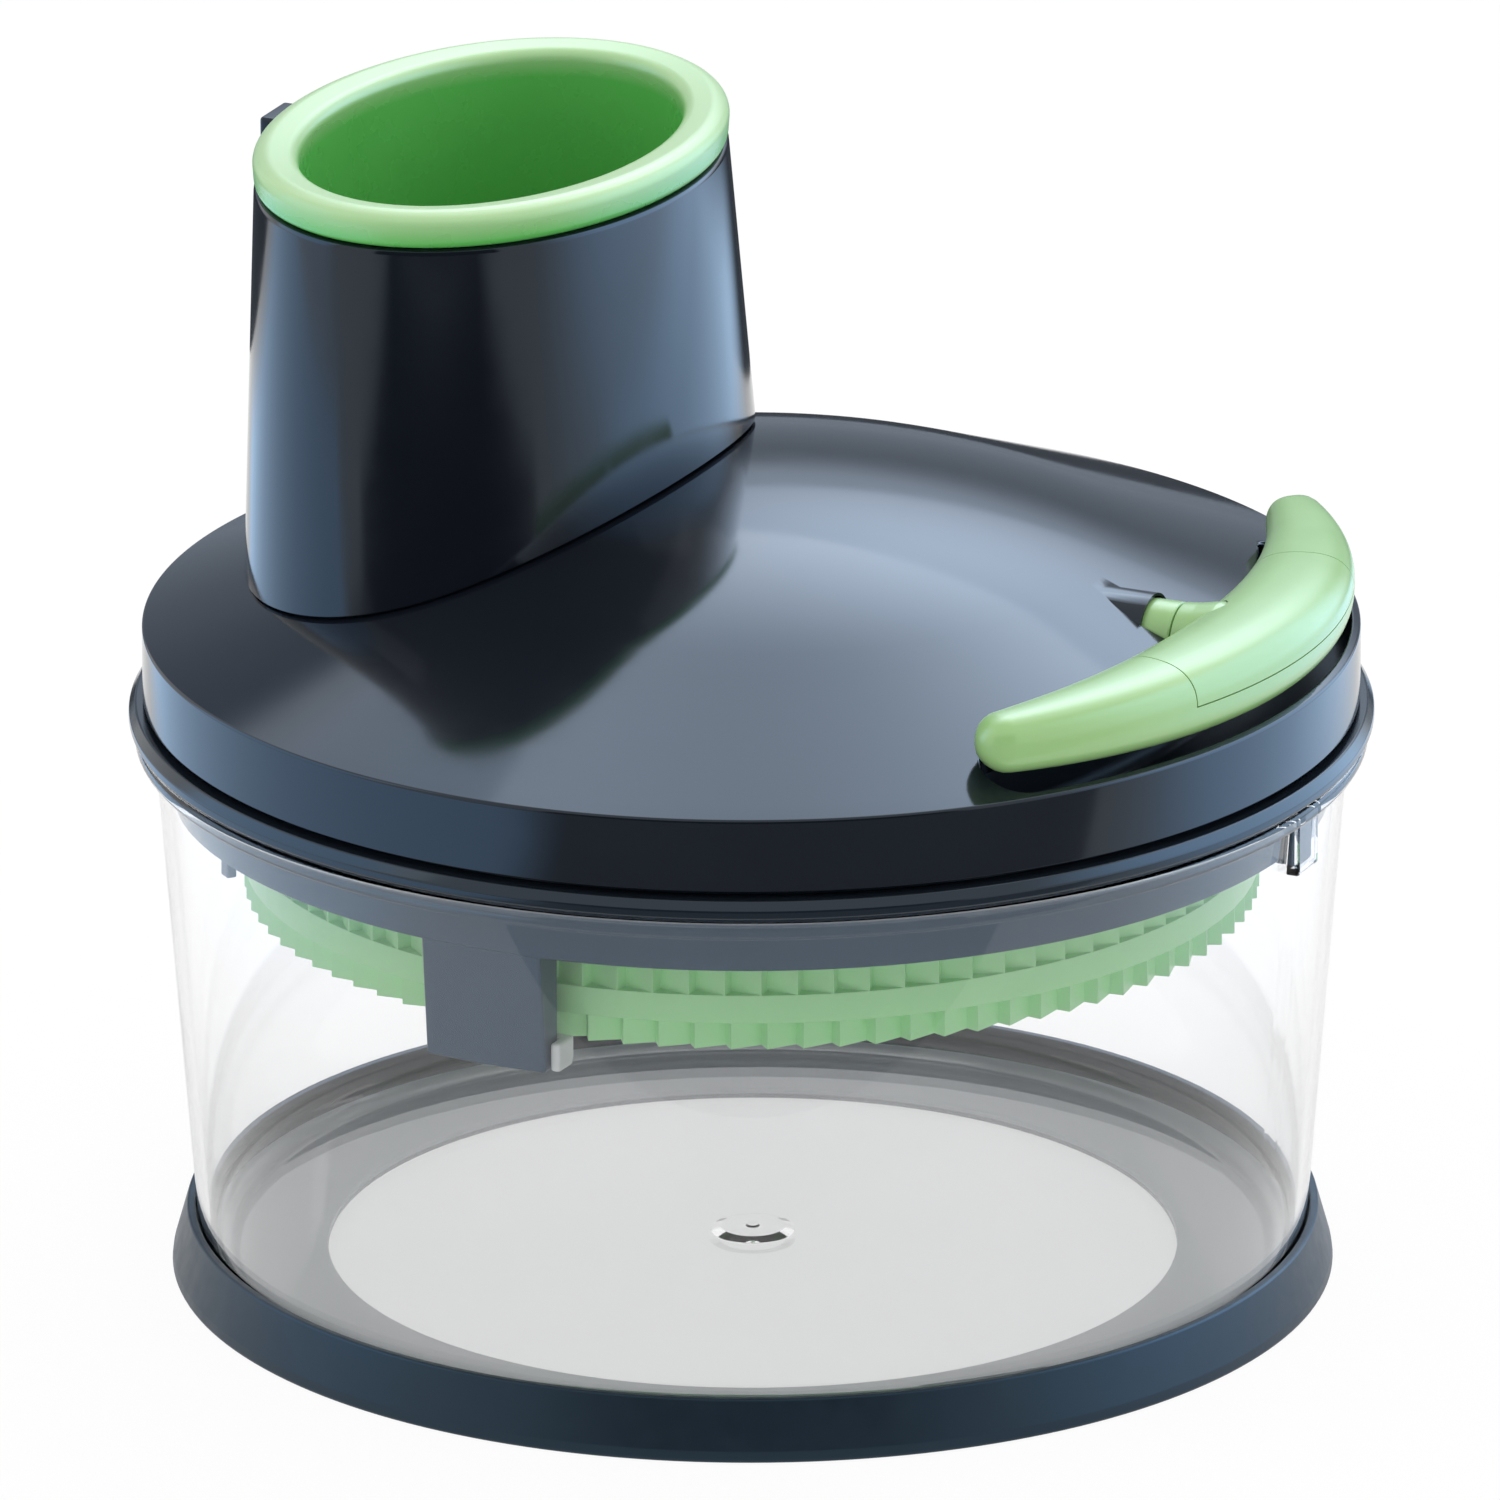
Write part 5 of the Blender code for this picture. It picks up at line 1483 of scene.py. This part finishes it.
@dataclass
class PullCord(SubAssembly):
    """Braided cord from the spool to the knot in the handle, which pays out as the handle is pulled."""

    radius: float = 0.0011
    spool_x: float = 0.0271
    knot_x: float = 0.0926
    fixed_x: float = 0.0620
    moving_x: float = 0.0650

    def build(self) -> None:
        """Draw the cord with close rings where it pays out, and dress it."""
        steps = [(self.spool_x, self.fixed_x, 12), (self.fixed_x, self.moving_x, 60),
                 (self.moving_x, self.knot_x, 10)]
        places = [start + (end - start) * i / count for start, end, count in steps for i in range(count)]
        outline = [(0.0, places[0])] + [(self.radius, x) for x in places + [self.knot_x]] + [(0.0, self.knot_x)]
        cord = smooth(lathe("pull_cord_braid", outline, 20, STEM_Z))
        cord.data.materials.append(self.finishes.materials[Look.CORD])
        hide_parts("pull_cord")
        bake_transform(cord)


@dataclass
class Mechanism(SubAssembly):
    """The frame's own nodes that stay in view, by finish."""

    nodes: tuple[tuple[Look, str], ...] = (
        (Look.STEEL, "cutting_disc slicing_blade drive_shaft shaft_collar spool_axle recoil_spring clutch_ratchet"),
        (Look.BRONZE, "shaft_bush"),
        (Look.SLATE, "lock_knob gear_bridge"),
        (Look.NYLON, "pinion spool_gear cord_spool cord_guide"),
        (Look.CORD, "cord_winding cord_knot"),
    )

    def build(self) -> None:
        """Dress the nodes, and every screw as steel."""
        for look, names in self.nodes:
            for name in names.split():
                self.finishes.dress_node(name, look)
        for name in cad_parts:
            if "_screw_" in name:
                self.finishes.dress_node(name, Look.STEEL)


# Studio


# Colours of the cards' light
COOL = (0.84, 0.98, 1.18)
COLD = (0.66, 0.92, 1.25)


@dataclass(frozen=True)
class Card:
    """A card beside the object that only a gloss shows, bright or dark.

    side, toward and height place its middle from the object, to the camera's right, toward the camera and up.
    lean tips it back, to lie on the floor at 90 degrees, and swing turns it about the vertical.
    levels are its brightness at its lower and upper edge, and soft_edge the share of it that fades at each edge.
    """

    name: str
    side: float
    toward: float
    height: float
    size: Flat
    lean: float
    swing: float
    levels: Flat
    soft_edge: Flat
    colour: Triple = (1.0, 1.0, 1.0)


@dataclass
class Studio:
    """Pale floor, soft lamps, dark cards for the gloss, and the camera."""

    azimuth: float = 24.5
    elevation: float = 19.37
    roll: float = 0.13
    distance: float = 3.985
    pixels_per_metre: float = 5660.0
    frame_pixels: float = 1500.0
    aim: Triple = (0.0, 0.0, 0.1000)
    offset_pixels: Flat = (1.6, -25.3)
    sensor_width: float = 36.0
    floor_radius: float = 6.0
    floor_tone: float = 0.90
    floor_glow: tuple[tuple[str, float], ...] = (("Camera", 0.94), ("Glossy", 0.80), ("Transmission", -0.30))
    lamps: tuple[tuple[str, Triple, Flat, float], ...] = (
        ("lamp_overhead", (0.25, -0.45, 1.10), (1.1, 0.8), 1.1),
        ("lamp_right", (1.1, -0.3, 0.85), (0.5, 0.8), 1.2),
        ("lamp_left", (-1.1, 0.2, 0.80), (0.4, 0.8), 0.9),
    )
    cards: tuple[Card, ...] = (
        Card("dark_front", 0.0, 1.60, 0.55, (2.6, 1.4), 0.0, 0.0, (0.02, 0.02), (0.04, 0.05)),
        Card("grey_front_floor", 0.0, 0.39, 0.004, (1.3, 0.36), 90.0, 0.0, (0.28, 0.28), (0.05, 0.0)),
        Card("dark_front_floor", 0.0, 1.03, 0.004, (1.5, 0.90), 90.0, 0.0, (0.02, 0.02), (0.05, 0.0)),
        Card("bright_spot", 0.42, -1.20, 1.25, (1.95, 1.60), 42.0, -12.0, (4.8, 5.6), (0.49, 0.49), COOL),
        Card("bright_back", 0.38, -1.60, 1.30, (2.1, 1.7), 0.0, 0.0, (1.0, 3.4), (0.40, 0.24), COOL),
        Card("bright_over", 0.10, -1.15, 1.75, (2.6, 1.4), 50.0, 0.0, (2.9, 2.4), (0.35, 0.30), COOL),
        Card("bright_far_right", 1.15, -1.00, 0.80, (1.1, 1.2), 0.0, -49.0, (1.4, 1.4), (0.45, 0.30), COOL),
        Card("dim_back", 0.0, -2.40, 1.00, (3.0, 2.4), 0.0, 0.0, (0.38, 0.38), (0.10, 0.1), COOL),
        Card("dark_back_floor", 0.0, -0.78, 0.003, (1.6, 0.55), 90.0, 0.0, (0.07, 0.07), (0.2, 0.0), COOL),
        Card("dim_back_floor", 0.0, -1.75, 0.003, (2.4, 1.38), 90.0, 0.0, (0.35, 0.35), (0.2, 0.0), COOL),
        Card("bright_right", 0.62, -0.25, 0.40, (1.5, 0.9), 0.0, 90.0, (3.6, 4.0), (0.35, 0.25), COLD),
        Card("bright_right_floor", 0.52, -0.25, 0.005, (0.7, 0.9), 90.0, 0.0, (2.2, 2.2), (0.25, 0.2), COLD),
        Card("bright_left", -0.75, -0.10, 0.40, (0.8, 0.8), 0.0, 90.0, (2.0, 2.0), (0.2, 0.2), COLD),
        Card("bright_left_floor", -0.55, -0.05, 0.005, (0.7, 0.9), 90.0, 0.0, (1.6, 1.6), (0.1, 0.1), COLD),
    )

    def camera_axes(self) -> tuple[Vector, Vector, Vector]:
        """Work out the camera's directions, before its roll.

        Returns:
            The directions to its right, up and backward.
        """
        a = math.radians(self.azimuth)
        e = math.radians(self.elevation)
        right = Vector((math.cos(a), math.sin(a), 0.0))
        back = Vector((math.sin(a) * math.cos(e), -math.cos(a) * math.cos(e), math.sin(e)))
        return right, back.cross(right), back

    def level_axes(self) -> tuple[Vector, Vector]:
        """Directions along the floor to the camera's right and toward the camera."""
        right, _up, back = self.camera_axes()
        return right, Vector((back.x, back.y, 0.0)).normalized()

    def spot(self, side: float, toward: float, height: float) -> Vector:
        """Place at distances to the camera's right, toward the camera and above the floor."""
        right, near = self.level_axes()
        return right * side + near * toward + Vector((0.0, 0.0, height))

    def place_camera(self) -> None:
        """Set the camera at the photograph's angle."""
        right, up, back = self.camera_axes()
        across = -self.offset_pixels[0] / self.pixels_per_metre
        lift = self.offset_pixels[1] / self.pixels_per_metre
        target = Vector(self.aim) + right * across + up * lift
        turn = Matrix((right, up, back)).transposed() @ Matrix.Rotation(-math.radians(self.roll), 3, "Z")
        data = bpy.data.cameras.new("camera")
        data.sensor_width = self.sensor_width
        data.lens = self.sensor_width * self.pixels_per_metre * self.distance / self.frame_pixels
        data.clip_end = 50.0
        camera = bpy.data.objects.new("camera", data)
        camera.matrix_world = Matrix.Translation(target + back * self.distance) @ turn.to_4x4()
        bpy.context.scene.collection.objects.link(camera)
        bpy.context.scene.camera = camera

    def light_world(self) -> None:
        """White surroundings."""
        world = bpy.data.worlds.new("studio")
        bpy.context.scene.world = world
        world.use_nodes = True
        background = world.node_tree.nodes["Background"]
        background.inputs["Color"].default_value = (1.0, 1.0, 1.0, 1.0)
        background.inputs["Strength"].default_value = 1.0

    def lay_floor(self) -> None:
        """Pale floor that shows as white and keeps a soft shadow."""
        deselect()
        bpy.ops.mesh.primitive_circle_add(vertices=96, radius=self.floor_radius, fill_type="NGON",
                                          location=(0.0, 0.0, -0.0002))
        floor = named("floor")
        board = NodeBoard("pale_floor")
        board.set(Base_Color=(*[self.floor_tone] * 3, 1.0), Roughness=0.9, Specular_IOR_Level=0.0)
        glow = board.node("ShaderNodeEmission", Color=(1.0, 1.0, 1.0, 1.0))
        path = board.node("ShaderNodeLightPath")
        share: object = 0.0
        for name, glow_share in self.floor_glow:
            share = board.compute("MULTIPLY_ADD", path.outputs[f"Is {name} Ray"], glow_share, share)
        board.surface(share, board.shader.outputs["BSDF"], glow.outputs["Emission"])
        floor.data.materials.append(board.material)

    def hang_lamp(self, name: str, offset: Triple, size: Flat, level: float) -> None:
        """Hang a soft lamp that faces the object.

        Args:
            name: The lamp's name.
            offset: How far it hangs to the camera's right, toward the camera and above the floor.
            size: The lamp's width and height.
            level: Its brightness as it is seen in a gloss, where 1 is white.
        """
        place = self.spot(*offset)
        data = bpy.data.lights.new(name, "AREA")
        data.shape = "RECTANGLE"
        data.size, data.size_y = size
        data.energy = level * math.pi * size[0] * size[1]
        lamp = bpy.data.objects.new(name, data)
        lamp.location = place
        lamp.rotation_euler = (Vector(self.aim) - place).to_track_quat("-Z", "Y").to_euler()
        bpy.context.scene.collection.objects.link(lamp)

    def stand_card(self, card: Card) -> None:
        """Stand a card that only a gloss shows.

        Args:
            card: Its place, size and levels.
        """
        deselect()
        bpy.ops.mesh.primitive_plane_add(size=1.0, location=(0.0, 0.0, 0.0))
        plane = named(card.name)
        swing = Matrix.Rotation(math.radians(card.swing), 3, "Z")
        across, facing = (swing @ axis for axis in self.level_axes())
        lean = math.radians(card.lean)
        along = Vector((0.0, 0.0, 1.0)) * math.cos(lean) + facing * math.sin(lean)
        turn = Matrix((across * card.size[0], along * card.size[1], across.cross(along))).transposed().to_4x4()
        plane.data.transform(Matrix.Translation(self.spot(card.side, card.toward, card.height)) @ turn)
        plane.data.materials.append(self.card_material(card))
        plane.visible_camera = False
        plane.visible_diffuse = False
        plane.visible_transmission = False
        plane.visible_shadow = False

    @staticmethod
    def card_material(card: Card) -> bpy.types.Material:
        """Light that changes from the card's lower to its upper edge and fades at the edges.

        Args:
            card: The card's levels, colour and soft edges.

        Returns:
            The material.
        """
        board = NodeBoard(card.name)
        glow = board.node("ShaderNodeEmission", Color=(*card.colour, 1.0))
        split = board.node("ShaderNodeSeparateXYZ")
        board.join(board.node("ShaderNodeTexCoord").outputs["UV"], split.inputs["Vector"])
        board.join(board.remap(split.outputs["Y"], 0.0, 1.0, *card.levels), glow.inputs["Strength"])
        fades = [board.remap(board.compute("PINGPONG", split.outputs[axis], 0.5), 0.0, max(soft, 0.0001),
                             kind="SMOOTHSTEP") for axis, soft in zip("XY", card.soft_edge)]
        clear = board.node("ShaderNodeBsdfTransparent")
        board.surface(board.compute("MULTIPLY", *fades), clear.outputs["BSDF"], glow.outputs["Emission"])
        return board.material

    def build(self) -> None:
        """Set the whole studio."""
        self.place_camera()
        self.light_world()
        self.lay_floor()
        for lamp in self.lamps:
            self.hang_lamp(*lamp)
        for card in self.cards:
            self.stand_card(card)
        bpy.context.scene.view_settings.view_transform = "Standard"


def main() -> None:
    """Build and dress every piece, then set the studio."""
    logging.basicConfig(level=logging.INFO, format="%(name)s: %(message)s")
    finishes = Finishes()
    for part in (BaseRing, Bowl, LidBase, LidCover, Chute, Pusher, Handle, RotorCarrier, GlidePads, PullCord,
                 Mechanism):
        part(finishes).build()
        LOG.info("built %s", part.__name__)
    Studio().build()
    LOG.info("built Studio")


if __name__ == "__main__":
    main()
